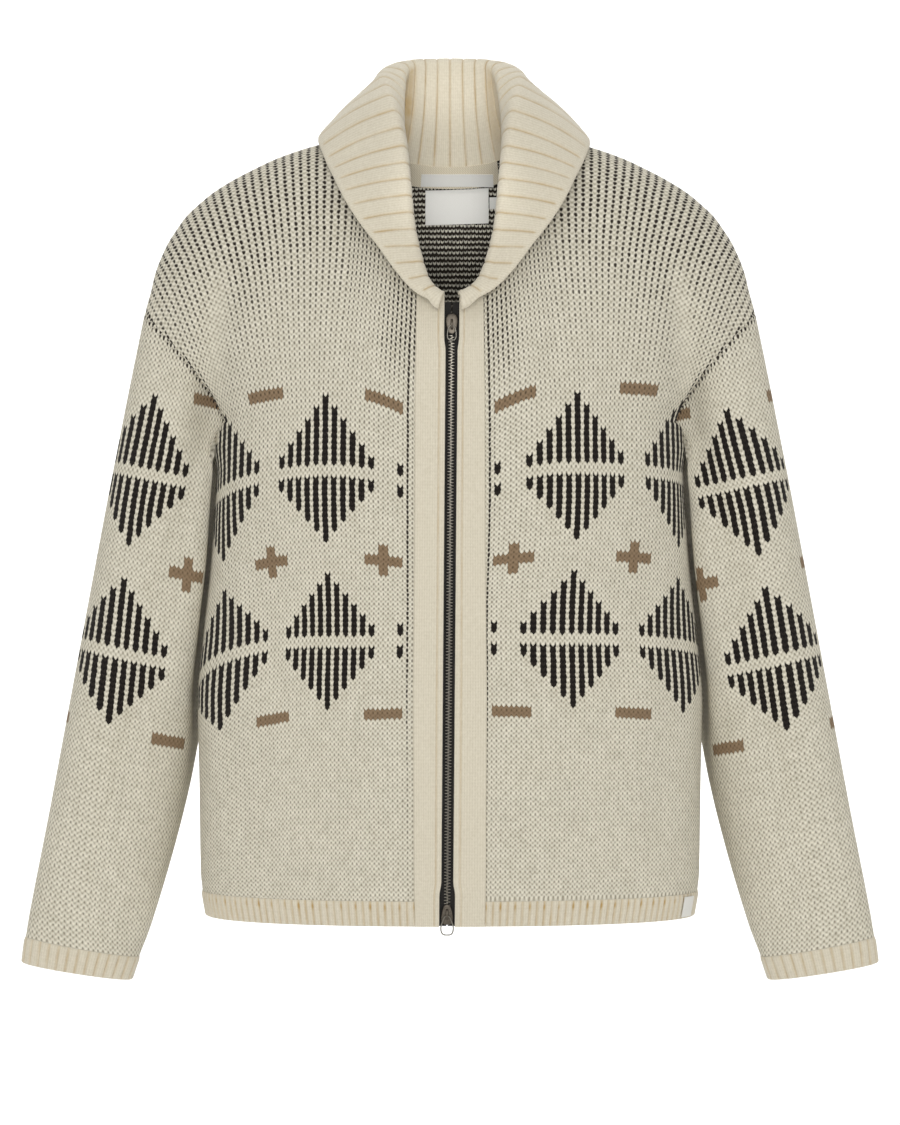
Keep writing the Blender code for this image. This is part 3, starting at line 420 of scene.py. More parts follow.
@dataclass(frozen=True)
class BodyForm:
    """The form inside the body: rounded sections up to the chest, then wales that rise to the shoulders."""

    side_wale: float = 67.5
    arm_wale: float = 57.5
    neck_wale: float = 23.6
    band_wale: float = 7.6
    power: float = 2.25
    ridge_depth: float = 0.005
    neck_drop: float = 0.150
    flare: float = 0.0045
    fold_x: float = 0.2020
    fold_depth: float = 0.0100
    fold_width: float = 0.017
    back_neck_depth: float = 0.060
    back_neck_height: float = -0.007
    drag_lines: tuple[tuple[float, ...], ...] = (
        (0.178, -0.36, 0.30, 0.0030, -0.54, -0.262), (0.190, -0.50, 0.10, 0.0034, -0.64, -0.34),
        (0.135, -0.42, 0.35, 0.0020, -0.56, -0.28), (0.110, -0.58, -0.12, 0.0020, -0.656, -0.46))
    body: Table = field(default_factory=lambda: {
        "height": (-0.679, -0.657, -0.640, -0.560, -0.490, -0.430, -0.365, -0.300, -0.245, -0.200),
        "half_width": (0.2160, 0.2196, 0.2212, 0.2224, 0.2238, 0.2188, 0.2122, 0.2078, 0.2055, 0.2050),
        "front": (0.1085, 0.1115, 0.1130, 0.1160, 0.1180, 0.1195, 0.1210, 0.1220, 0.1225, 0.1220),
        "back": (0.1060, 0.1085, 0.1090, 0.1070, 0.1060, 0.1070, 0.1100, 0.1135, 0.1160, 0.1170)})
    shoulder: Table = field(default_factory=lambda: {
        "x": (0.0790, 0.1170, 0.1510, 0.1742, 0.1942, 0.2111, 0.2240, 0.2351, 0.2427, 0.2498, 0.2551,
              0.2596, 0.2631, 0.2654, 0.2685, 0.2716),
        "z": (0.0120, 0.0040, -0.0071, -0.0178, -0.0284, -0.0391, -0.0498, -0.0605, -0.0711, -0.0818,
              -0.0925, -0.1031, -0.1138, -0.1245, -0.1351, -0.1458)})

    def half_and_deep(self, heights: Array, face: Face) -> tuple[Array, Array]:
        """Half the section's width, and its depth to the front or back, at each height."""
        return (column(self.body, "half_width", heights),
                column(self.body, "front" if face is Face.FRONT else "back", heights))

    def section(self, heights: Array, wale: float, face: Face) -> Array:
        """Points of one wale at many heights, at the wale's share of each section's length.

        Args:
            heights: Where to read it.
            wale: The wale, counted out from the centre front or back.
            face: The front or the back of the body.

        Returns:
            One point a height.
        """
        across, up = quarter_round(self.power)
        half, deep = self.half_and_deep(heights, face)
        line = np.stack([half[:, None] * across, face.value * deep[:, None] * up], axis=2)
        along = run_along(line)
        want = wale / self.side_wale * along[:, -1]
        return np.stack([read_rows(along, line[..., 0], want), read_rows(along, line[..., 1], want),
                         heights], axis=1)

    def chest_height(self, wale: float) -> float:
        """The height where a wale leaves the body's sections; lower under the arm."""
        share = float(ease((wale - self.arm_wale) / (self.side_wale - self.arm_wale)))
        return CHEST + (UNDERARM - CHEST) * share

    def hollow(self, points: Array) -> Array:
        """Points with the soft fold that runs down from the shoulder's front into the underarm.

        The fold is a bell curve across a line that leans out a little as it falls, and fades at both ends.

        Args:
            points: Points, with x, y and z along the last axis.

        Returns:
            The moved points.
        """
        x, y, z = np.abs(points[..., 0]), points[..., 1], points[..., 2]
        line = self.fold_x + 0.0075 * np.clip((-0.12 - z) / 0.15, 0, 1)
        deep = self.fold_depth * ease((z + 0.290) / 0.05) * ease((-0.085 - z) / 0.07)
        sink = deep * np.exp(-(((x - line) / self.fold_width) ** 2)) * np.clip(np.abs(y) / 0.03, 0, 1)
        moved = points.copy()
        moved[..., 1] -= np.sign(y) * sink * np.where(y > 0, 0.7, 1.0)
        return moved

    def shoulder_start(self, wale: float, face: Face) -> Array:
        """Where a wale starts: the shoulder seam, the back neck, or above the open front neck.

        Args:
            wale: The wale, counted out from the centre front or back.
            face: The front or the back of the body.

        Returns:
            One point.
        """
        xs, zs = self.shoulder["x"], self.shoulder["z"]
        if wale >= self.neck_wale:
            fine = np.linspace(xs[0], xs[-1], 161)
            line = np.stack([fine, np.full(161, self.ridge_depth), through(xs, zs, fine)], axis=1)
            return at_shares(line, [(wale - self.neck_wale) / (self.arm_wale - self.neck_wale)])[0]
        share = wale / self.neck_wale
        x, z = xs[0] * share, zs[0]
        if face is Face.FRONT:
            return np.array([x, self.ridge_depth, z])
        fall = 1 - share ** 2.4
        return np.array([x, self.ridge_depth + (self.back_neck_depth - self.ridge_depth) * fall,
                         z + (self.back_neck_height - z) * fall])

    def neck_height(self, wale: float) -> float:
        """The height of the front neckline at a wale between the band and the shoulder."""
        share = (wale - self.band_wale) / (self.neck_wale - self.band_wale)
        return self.shoulder["z"][0] - self.neck_drop * (1 - float(np.clip(share, 0, 1))) ** 0.9

    def upper(self, wale: float, face: Face, shares: Array, top: float | None = None) -> Array:
        """Points up one wale from the chest: a quarter of a rounded square standing below the shoulder.

        Args:
            wale: The wale, counted out from the centre front or back.
            face: The front or the back of the body.
            shares: Places up the wale, from 0 at the chest to 1.
            top: Where to stop, for a line that ends below its start.

        Returns:
            One point a share.
        """
        chest = self.section(np.array([self.chest_height(wale)]), wale, face)[0]
        start = self.shoulder_start(wale, face)
        power = (2.3 + 0.3 * float(ease((wale - 20) / 25)) if face is Face.FRONT
                 else 1.55 + 0.9 * float(ease((wale - 6) / 26)))
        across, up = quarter_round(power)
        if top is None and face is Face.FRONT and wale < self.neck_wale:
            top = self.neck_height(wale)
        if top is not None:
            stop = (top - chest[2]) / (start[2] - chest[2])
            low = np.interp(stop, up[::-1], np.linspace(1, 0, len(up)))
            index = np.linspace(low, 1, len(up)) * (len(up) - 1)
            across = np.interp(index, np.arange(len(up)), across)
            up = np.interp(index, np.arange(len(up)), up)
        line = np.stack([chest[0] + (start[0] - chest[0]) * up ** 1.35,
                         start[1] + (chest[1] - start[1]) * across,
                         chest[2] + (start[2] - chest[2]) * up], axis=1)[::-1]
        return self.hollow(at_shares(line, shares))

    def lower(self, wale: float, face: Face, shares: Array) -> Array:
        """Points up one wale from the top of the hem rib to the chest, flared into the sleeve.

        Args:
            wale: The wale, counted out from the centre front or back.
            face: The front or the back of the body.
            shares: Places up the wale, from 0 at the rib to 1.

        Returns:
            One point a share.
        """
        heights = RIB_TOP + (self.chest_height(wale) - RIB_TOP) * np.asarray(shares, float)
        points = self.section(heights, wale, face)
        points[:, 0] += self.flare * ease((heights - UNDERARM + 0.026)
                                          / 0.026) * float(ease((wale - 50) / 15))
        return self.dragged(self.hollow(points))

    def dragged(self, points: Array) -> Array:
        """Points with the soft drag lines below the chest, each a bell-shaped trough on a slanting path.

        Args:
            points: Points, with x, y and z along the last axis.

        Returns:
            The moved points.
        """
        moved = points.copy()
        x, y, z = points[..., 0], points[..., 1], points[..., 2]
        for at, height, slope, deep, low, high in self.drag_lines:
            fade = ease((z - low) / 0.07) * ease((high - z) / 0.07)
            bell = np.exp(-(((x - at - (z - height) * slope) / 0.013) ** 2))
            moved[..., 1] -= np.sign(y) * deep * bell * fade * np.clip(np.abs(y) / 0.03, 0, 1)
        return moved

    def front_depth(self, x: Array, z: Array) -> Array:
        """How far forward the front lies near its centre line, at each x and height.

        Args:
            x: Distances from the centre.
            z: Heights.

        Returns:
            The y of the surface at each place.
        """
        x, z = np.abs(np.asarray(x, float)), np.asarray(z, float)
        half, deep = self.half_and_deep(z, Face.FRONT)
        below = -deep * (1 - (x / half) ** self.power) ** (1 / self.power)
        lines = [self.upper(w, Face.FRONT, np.linspace(0, 1, 80), top=-0.06)
                 for w in np.linspace(0.4, 12, 13)]
        xs = np.stack([np.interp(z, line[:, 2], line[:, 0]) for line in lines], axis=1)
        ys = np.stack([np.interp(z, line[:, 2], line[:, 1]) for line in lines], axis=1)
        return np.where(z <= CHEST, below, read_rows(xs, ys, x))


FORM = BodyForm()


@dataclass(frozen=True)
class StitchCount:
    """How many wales and courses lie between the lozenges' origin and a place on a panel.

    Knitting stretches on the wearer, so the count is read from a few charted places: wales by
    the panel's own columns at two heights, and courses by how far each row hangs below its crest.
    """

    wale_anchor: tuple[float, ...] = (0, 10, 16, 26, 36, 42, 52, 64)
    high_columns: tuple[float, ...] = (0, 10.7, 17.0, 27.3, 37.5, 44.2, 56.0, 67.5)
    low_columns: tuple[float, ...] = (0, 10.4, 16.4, 25.5, 34.4, 39.9, 51.6, 67.5)
    high, low = -0.294, -0.440
    crest: float = 27.0
    lift: float = 0.0
    inward: Table = field(default_factory=lambda: {
        "height": (-0.680, -0.500, -0.435, -0.364, -0.290, -0.222, -0.140),
        "drop": (0.0, -0.0017, -0.0017, 0.0056, 0.0130, 0.0240, 0.0260)})
    outward: Table = field(default_factory=lambda: {
        "height": (-0.680, -0.600, -0.500, -0.435, -0.364, -0.290, -0.222, -0.100),
        "drop": (0.0, 0.020, 0.027, 0.020, 0.0185, 0.0162, 0.0128, 0.010)})
    courses: Table = field(default_factory=lambda: {"height": (-0.6570, -0.4939, -0.4410, -0.4311, -0.3774,
                                                               -0.3501, -0.2946, -0.2843, -0.2255,
                                                               -0.1000),
                                                    "course": (94.7, 58.0, 46.0, 44.0, 32.0, 26.0, 14.0,
                                                               12.0, 0.0, -25.6)})

    def wales(self, columns: Array, heights: Array) -> Array:
        """The wale count at a panel's own columns, blended between the two charted heights.

        Args:
            columns: The panel's own wale at each point.
            heights: Where to read it.

        Returns:
            The wale of the pattern at each point.
        """
        share = ease((self.high - heights) / (self.high - self.low))
        return (through(self.high_columns, self.wale_anchor, columns) * (1 - share)
                + through(self.low_columns, self.wale_anchor, columns) * share)

    def hang(self, columns: Array, heights: Array) -> Array:
        """How far a row hangs below its crest, growing as a power of the distance from the crest.

        Args:
            columns: The panel's own wale at each point.
            heights: Where to read it.

        Returns:
            A drop in metres at each point.
        """
        into = np.clip((self.crest - columns) / (self.crest - 8.0), 0, 1.2) ** 2
        out = np.clip((columns - self.crest) / (56.0 - self.crest), 0, 1.4) ** 1.8
        return (column(self.inward, "drop", heights) * into
                + column(self.outward, "drop", heights) * out - self.lift)

    def course(self, columns: Array, heights: Array) -> Array:
        """The course count at a panel's own columns and heights.

        Args:
            columns: The panel's own wale at each point.
            heights: Where to read it.

        Returns:
            The course of the pattern at each point.
        """
        crest = heights + self.hang(columns, heights)
        keys, values = self.courses["height"], self.courses["course"]
        return np.where(crest > keys[-1], values[-1] - (crest - keys[-1]) / COURSE,
                        through(keys, values, np.clip(crest, keys[0] - 0.03, keys[-1])))


RIGHT_COUNT = StitchCount()
LEFT_COUNT = StitchCount(
    high_columns=(0, 10.2, 17.2, 28.0, 38.2, 45.6, 57.0, 67.5),
    low_columns=(0, 9.1, 15.3, 25.6, 35.4, 41.8, 52.6, 67.5), lift=0.0022,
    outward={"height": (-0.680, -0.500, -0.435, -0.364, -0.290, -0.222, -0.100),
             "drop": (0.0, 0.0085, 0.0077, 0.0070, 0.0053, 0.0, 0.0)})
BACK_COUNT = StitchCount(
    wale_anchor=(0, 67.5), high_columns=(0, 67.5), low_columns=(0, 67.5),
    inward={"height": (-0.680, -0.100), "drop": (0.0, 0.0)},
    outward={"height": (-0.680, -0.400, -0.245, -0.100), "drop": (0.0, 0.010, 0.012, 0.012)})


@dataclass
class HalfPanel:
    """Half of a front or back panel, from its first wale to the side seam, and where its seams lie."""

    face: Face
    first: float
    count: StitchCount
    wale_step: float = 0.75
    lower_rows: int = 141
    upper_rows: int = 81
    cloth: Cloth = field(init=False)
    seams: dict[str, Array] = field(init=False)
    wales: Array = field(init=False)

    def __post_init__(self) -> None:
        """Builds the panel's points wale by wale, each wale as one array."""
        form = FORM
        to_neck = np.linspace(self.first, form.neck_wale,
                              round((form.neck_wale - self.first) / self.wale_step) + 1)
        to_arm = np.linspace(form.neck_wale, form.arm_wale, 46)[1:]
        bind = np.linspace(form.arm_wale, form.side_wale, 15)[1:]
        self.wales = np.concatenate([to_neck, to_arm])
        self.neck_count = len(to_neck) - 1
        every = np.concatenate([self.wales, bind])
        low_shares, high_shares = np.linspace(0, 1, self.lower_rows), np.linspace(0, 1, self.upper_rows)
        low = np.stack([form.lower(w, self.face, low_shares) for w in every], axis=1)
        high = np.stack([form.upper(w, self.face, high_shares) for w in self.wales], axis=1)
        low_marks = self.marks(low, every)
        high_marks = self.upper_marks(high, low_marks[-1])
        wide, narrow = len(every), len(self.wales)
        points = np.concatenate([low.reshape(-1, 3), high[1:].reshape(-1, 3)])
        stitches = np.concatenate([low_marks.reshape(-1, 2), high_marks[1:].reshape(-1, 2)])
        below, _ = grid_quads(self.lower_rows, wide)
        above, _ = grid_quads(self.upper_rows - 1, narrow)
        start, chest = self.lower_rows * wide, (self.lower_rows - 1) * wide
        c = np.arange(narrow - 1)
        joint = np.stack([chest + c, chest + c + 1, start + c + 1, start + c], axis=1)
        quads = np.concatenate([below, joint, above + start])
        rows = np.arange(self.upper_rows - 1)
        self.seams = {
            "hem": np.arange(wide),
            "side": np.arange(self.lower_rows) * wide + wide - 1,
            "centre": np.concatenate([np.arange(self.lower_rows) * wide, start + rows * narrow]),
            "top": start + (self.upper_rows - 2) * narrow + np.arange(narrow),
            "armhole": np.concatenate([start + rows[::-1] * narrow + narrow - 1, [chest + narrow - 1],
                                       chest + narrow + np.arange(len(bind))]),
        }
        self.cloth = Cloth(points, quads, stitches[quads], np.zeros(len(points)))
        self.cloth.speck = self.specks(stitches)
        if self.face is Face.FRONT:
            self.cloth.plain = (stitches[:, 0] < 9.0).astype(float)

    def marks(self, points: Array, columns: Array) -> Array:
        """The stitch count over the lower block.

        Args:
            points: Points, with x, y and z along the last axis.
            columns: The panel's own wale at each point.

        Returns:
            Wale and course at each point.
        """
        columns = np.broadcast_to(columns, points.shape[:2])
        heights = points[..., 2]
        return np.stack([self.count.wales(columns, heights), self.count.course(columns, heights)], axis=2)

    def upper_marks(self, points: Array, chest: Array) -> Array:
        """The stitch count over the upper block: courses by length up each wale, wales fanning out.

        Args:
            points: Points, with x, y and z along the last axis.
            chest: Wale and course along the top of the lower block.

        Returns:
            Wale and course at each point.
        """
        narrow = points.shape[1]
        up = run_along(np.moveaxis(points, 1, 0)).T
        share = ease(up / 0.17)
        wales = chest[:narrow, 0] + (self.wales - chest[:narrow, 0]) * share
        return np.stack([wales, chest[:narrow, 1] - up / COURSE], axis=2)

    def specks(self, stitches: Array) -> Array:
        """How far the dark yarn shows: strongly where the shoulders stretch the cloth, and by the seams;
        less along the ridge below the shoulder, as a painted highlight.

        Args:
            stitches: Wale and course at each point.

        Returns:
            The speck mark at each point.
        """
        points = self.cloth.points
        x, z = np.abs(points[:, 0]), points[:, 2]
        outer = 0.032 * ease((x - 0.125) / 0.06)
        mark_strength = through((-0.66, -0.50, -0.40, -0.30, -0.22, -0.17, -0.13, -0.09, -0.05, 0.02),
                       (0.22, 0.26, 0.30, 0.33, 0.37, 0.43, 0.54, 0.68, 0.80, 0.88), z + outer)
        # Painted highlight: fewer dark specks along the fold line below the shoulder make a lighter ridge
        # there.
        ridge = np.exp(-(((x - FORM.fold_x - 0.06 * (-0.15 - z)) / 0.008) ** 2))
        mark_strength = mark_strength * (1 - 0.85 * ridge * ease((z + 0.33) / 0.06) * ease((-0.09 - z) / 0.06))
        armhole = points[self.seams["armhole"]]
        near = np.min([np.linalg.norm(points - p, axis=1) for p in armhole[::4]], axis=0)
        mark_strength = np.maximum(mark_strength, 1.05 * (1 - ease((near - 0.0025) / 0.0035)))
        if self.face is Face.FRONT:
            columns = ease((22.0 - stitches[:, 0]) / 11.0) * ease((z + 0.255) / 0.08)
            mark_strength = np.maximum(mark_strength, 0.78 * columns)
            beside = np.clip(1.25 - np.abs(stitches[:, 0] - 8.5) / 0.8, 0, 1)
            mark_strength = np.maximum(mark_strength, beside
                              * through((-0.66, -0.55, -0.44, -0.2), (0.35, 0.5, 0.95, 1.2), z))
        return mark_strength


@dataclass(frozen=True)
class ArmForm:
    """The form inside a sleeve: tilted rounded rings on a line that falls away from the body."""

    power: float = 2.15
    clear: float = 0.0045
    drag_lines: tuple[tuple[float, ...], ...] = (
        (0.238, -0.36, -0.16, 0.0034, -0.52, -0.20), (0.262, -0.42, -0.22, 0.0026, -0.60, -0.28),
        (0.296, -0.58, -0.24, 0.0028, -0.70, -0.44))
    rings: Table = field(default_factory=lambda: {
        "height": (-0.730, -0.708, -0.680, -0.600, -0.500, -0.400, -0.300, -0.200, -0.140),
        "x": (0.3320, 0.3270, 0.3196, 0.3004, 0.2790, 0.2580, 0.2370, 0.2170, 0.2052),
        "y": (0.0030, 0.0040, 0.0060, 0.0120, 0.0180, 0.0210, 0.0190, 0.0120, 0.0060),
        "half_width": (0.0490, 0.0512, 0.0540, 0.0580, 0.0612, 0.0638, 0.0658, 0.0668, 0.0660),
        "half_depth": (0.0230, 0.0265, 0.0330, 0.0430, 0.0520, 0.0560, 0.0570, 0.0560, 0.0550),
        "tilt": (9.0, 10.0, 11.5, 13.0, 12.5, 12.0, 12.0, 12.0, 12.0)})

    def ring(self, heights: Array, angles: Array) -> Array:
        """Points round the arm. Angle 0 is the outer side, a quarter turn on is the front.

        Args:
            heights: Heights of the rings' middles.
            angles: Turns round the arm.

        Returns:
            One point for each height and angle.
        """
        x, y, half, deep, tilt = (column(self.rings, k, heights)
                                  for k in ("x", "y", "half_width", "half_depth", "tilt"))
        c, s = np.cos(angles), np.sin(angles)
        size = outline(c, s, self.power)
        out, lean = half * c / size, np.radians(tilt)
        return np.stack(np.broadcast_arrays(x + out * np.cos(lean), y - deep * s / size,
                                            heights + out * np.sin(lean)), axis=-1)

    def beside_body(self, points: Array) -> Array:
        """Sleeve points kept just clear of the body's side below the underarm, by a soft maximum.

        Args:
            points: Points, with x, y and z along the last axis.

        Returns:
            The moved points.
        """
        x, y, z = points[..., 0], points[..., 1], points[..., 2]
        edge = UNDERARM + (CHEST - UNDERARM) * ease(np.abs(y) / 0.046)
        half = column(FORM.body, "half_width", z)
        deep = np.where(y < 0, column(FORM.body, "front", z), column(FORM.body, "back", z))
        side = half * np.maximum(0, 1 - np.minimum(1, np.abs(y) / deep) ** FORM.power) ** (1 / FORM.power)
        side = side + FORM.flare * ease((z - UNDERARM + 0.026) / 0.026) * ease(1 - np.abs(y) / 0.06)
        least = side + 0.0012 + (self.clear - 0.0012) * ease((edge - z) / 0.02)
        over = (x - least) / 0.004
        soft = 0.004 * np.where(over < 20, np.log1p(np.exp(np.minimum(over, 20))), over)
        moved = points.copy()
        moved[..., 0] = np.where((z <= edge) & (np.abs(y) < deep), least + soft, x)
        return moved

    def creased(self, points: Array, shares: Array) -> Array:
        """Sleeve points with the soft drag lines that run from the underarm down the arm's front.

        Each line is a bell-shaped trough across a slanting path, faded at both ends.

        Args:
            points: Points, with x, y and z along the last axis.
            shares: How far down the sleeve each row lies.

        Returns:
            The moved points.
        """
        moved = points.copy()
        x, z = points[..., 0], points[..., 2]
        for at, height, slope, deep, low, high in self.drag_lines:
            fade = ease((z - low) / 0.06) * ease((high - z) / 0.06)
            bell = np.exp(-(((x - (at + (z - height) * slope)) / 0.010) ** 2))
            moved[..., 1] += deep * bell * fade * (points[..., 1] < 0.03) * np.clip(shares * 8, 0, 1)
        return moved

    def along_arm(self, points: Array) -> Array:
        """The height of the ring that each point lies on, by putting the tilt back three times over.

        Args:
            points: Points, with x, y and z along the last axis.

        Returns:
            One height a point.
        """
        heights = points[..., 2]
        for _ in range(3):
            lean = np.tan(np.radians(column(self.rings, "tilt", heights)))
            heights = points[..., 2] - (points[..., 0] - column(self.rings, "x", heights)) * lean
        return heights


ARM = ArmForm()


@dataclass(frozen=True)
class SleeveCount:
    """Where the lozenges run down a sleeve.

    centre is the length round the arm from its outer side to the lozenges' middle wale, and courses the
    heights of charted rows. From the middle the wales are 4.5 mm apart, and wider round the outer side.
    """

    centre: Table
    courses: Table
    knots: tuple[float, ...] = (-0.300, -0.0605, -0.0110, 0.0, 0.0445, 0.2000)
    wales: tuple[float, ...] = (-63.0, -11.0, -2.0, 0.0, 10.0, 45.0)

    def marks(self, round_arm: Array, heights: Array) -> Array:
        """Wales by length round the arm, and courses by height, running on evenly past the chart.

        Args:
            round_arm: Lengths round the arm from its outer side.
            heights: The rings' heights.

        Returns:
            Wale and course at each point.
        """
        wale = np.interp(round_arm - column(self.centre, "middle", heights), self.knots, self.wales)
        keys, values = self.courses["height"], self.courses["course"]
        course = through(keys, values, heights)
        course = np.where(heights > keys[-1], values[-1] - (heights - keys[-1]) / SLEEVE_COURSE, course)
        course = np.where(heights < keys[0], values[0] + (keys[0] - heights) / SLEEVE_COURSE, course)
        return np.stack([wale, course], axis=-1)


RIGHT_SLEEVE = SleeveCount(
    {"height": (-0.70, -0.513, -0.457, -0.389, -0.302, -0.229, -0.14),
     "middle": (0.0690, 0.0718, 0.0700, 0.0656, 0.0590, 0.0530, 0.0480)},
    {"height": (-0.513, -0.458, -0.448, -0.389, -0.360, -0.302, -0.292, -0.229),
     "course": (58, 46, 44, 32, 26, 14, 12, 0)})
LEFT_SLEEVE = SleeveCount(
    {"height": (-0.70, -0.518, -0.395, -0.238, -0.14), "middle": (0.0690, 0.0770, 0.0780, 0.0763, 0.0740)},
    {"height": (-0.518, -0.463, -0.453, -0.395, -0.366, -0.307, -0.298, -0.238),
     "course": (58, 46, 44, 32, 26, 14, 12, 0)})


def to_linear(colour: str) -> tuple[float, float, float, float]:
    """An sRGB hex colour as linear red, green, blue and one.

    Args:
        colour: A hash and six hex digits.

    Returns:
        The linear colour.
    """
    parts = [int(colour[i:i + 2], 16) / 255 for i in (1, 3, 5)]
    linear = [p / 12.92 if p <= 0.04045 else ((p + 0.055) / 1.055) ** 2.4 for p in parts]
    return (*linear, 1.0)


# Short names for the modes of the Math node.
SUMS = {"+": "ADD", "-": "SUBTRACT", "*": "MULTIPLY", "*+": "MULTIPLY_ADD", "/": "DIVIDE",
        "<": "LESS_THAN", ">": "GREATER_THAN", "abs": "ABSOLUTE", "floor": "FLOOR", "fract": "FRACT",
        "min": "MINIMUM", "max": "MAXIMUM", "sin": "SINE", "cos": "COSINE", "power": "POWER",
        "round": "ROUND", "root": "SQRT", "modulo": "MODULO"}


class Nodes:
    """One material's node tree, and the one way to add to it."""

    def __init__(self, name: str) -> None:
        """Starts a material with a Principled shader joined to its output.

        Args:
            name: The material's name.
        """
        self.material = bpy.data.materials.new(name)
        self.material.use_nodes = True
        self.tree = self.material.node_tree
        self.shader = self.tree.nodes["Principled BSDF"]

    def add(self, kind: str, *values: Value, out: int | str = 0, **settings: Value) -> Socket:
        """Adds a node with its settings and links.

        Args:
            kind: The node's type, less its ShaderNode, and its mode where it has one, or a name from SUMS.
            *values: Numbers, colours or sockets for the inputs it uses in that mode, in their order.
            out: Which output is wanted, by its place among those in use or by name.
            **settings: Values for the node's own properties, or for inputs by name.

        Returns:
            The wanted output.
        """
        name, _, mode = (f"Math {SUMS[kind]}" if kind in SUMS else kind).partition(" ")
        node = self.tree.nodes.new(f"ShaderNode{name}")
        if mode:
            choice = {"Math": "operation", "Mix": "data_type", "MapRange": "interpolation_type"}[name]
            setattr(node, choice, mode)
        for key in [key for key in settings if hasattr(node, key)]:
            setattr(node, key, settings.pop(key))
        used = [socket for socket in node.inputs if socket.enabled]
        pairs = list(zip(used, values)) + [(node.inputs[key], value) for key, value in settings.items()]
        for socket, value in pairs:
            if isinstance(value, Socket):
                self.tree.links.new(value, socket)
            else:
                socket.default_value = value
        if isinstance(out, str):
            return node.outputs[out]
        return [socket for socket in node.outputs if socket.enabled][out]

    def finish(self, colour: Value, roughness: Value, height: Socket | None = None, strength: float = 0.5,
               depth: float = 0.001, **constants: float) -> Material:
        """Joins colour, roughness and a bump to the shader and sets its constants.

        Args:
            colour: A colour or the socket that gives one.
            roughness: A number or a socket.
            height: The surface's height, from 0 to 1, where it has a bump.
            strength: The bump's strength.
            depth: The bump's height in metres.
            **constants: Values for other inputs, with _ for a space.

        Returns:
            The finished material.
        """
        for place, value in (("Base Color", colour), ("Roughness", roughness)):
            if isinstance(value, Socket):
                self.tree.links.new(value, self.shader.inputs[place])
            else:
                self.shader.inputs[place].default_value = value
        if height is not None:
            bump = self.add("Bump", Height=height, Strength=strength, Distance=depth)
            self.tree.links.new(bump, self.shader.inputs["Normal"])
        for key, value in constants.items():
            self.shader.inputs[key.replace("_", " ")].default_value = value
        return self.material


class Shade(Enum):
    """Which side of the two-colour knitting shows."""

    RIGHT_SIDE = "two_colour_knit"
    WRONG_SIDE = "two_colour_knit_inside"


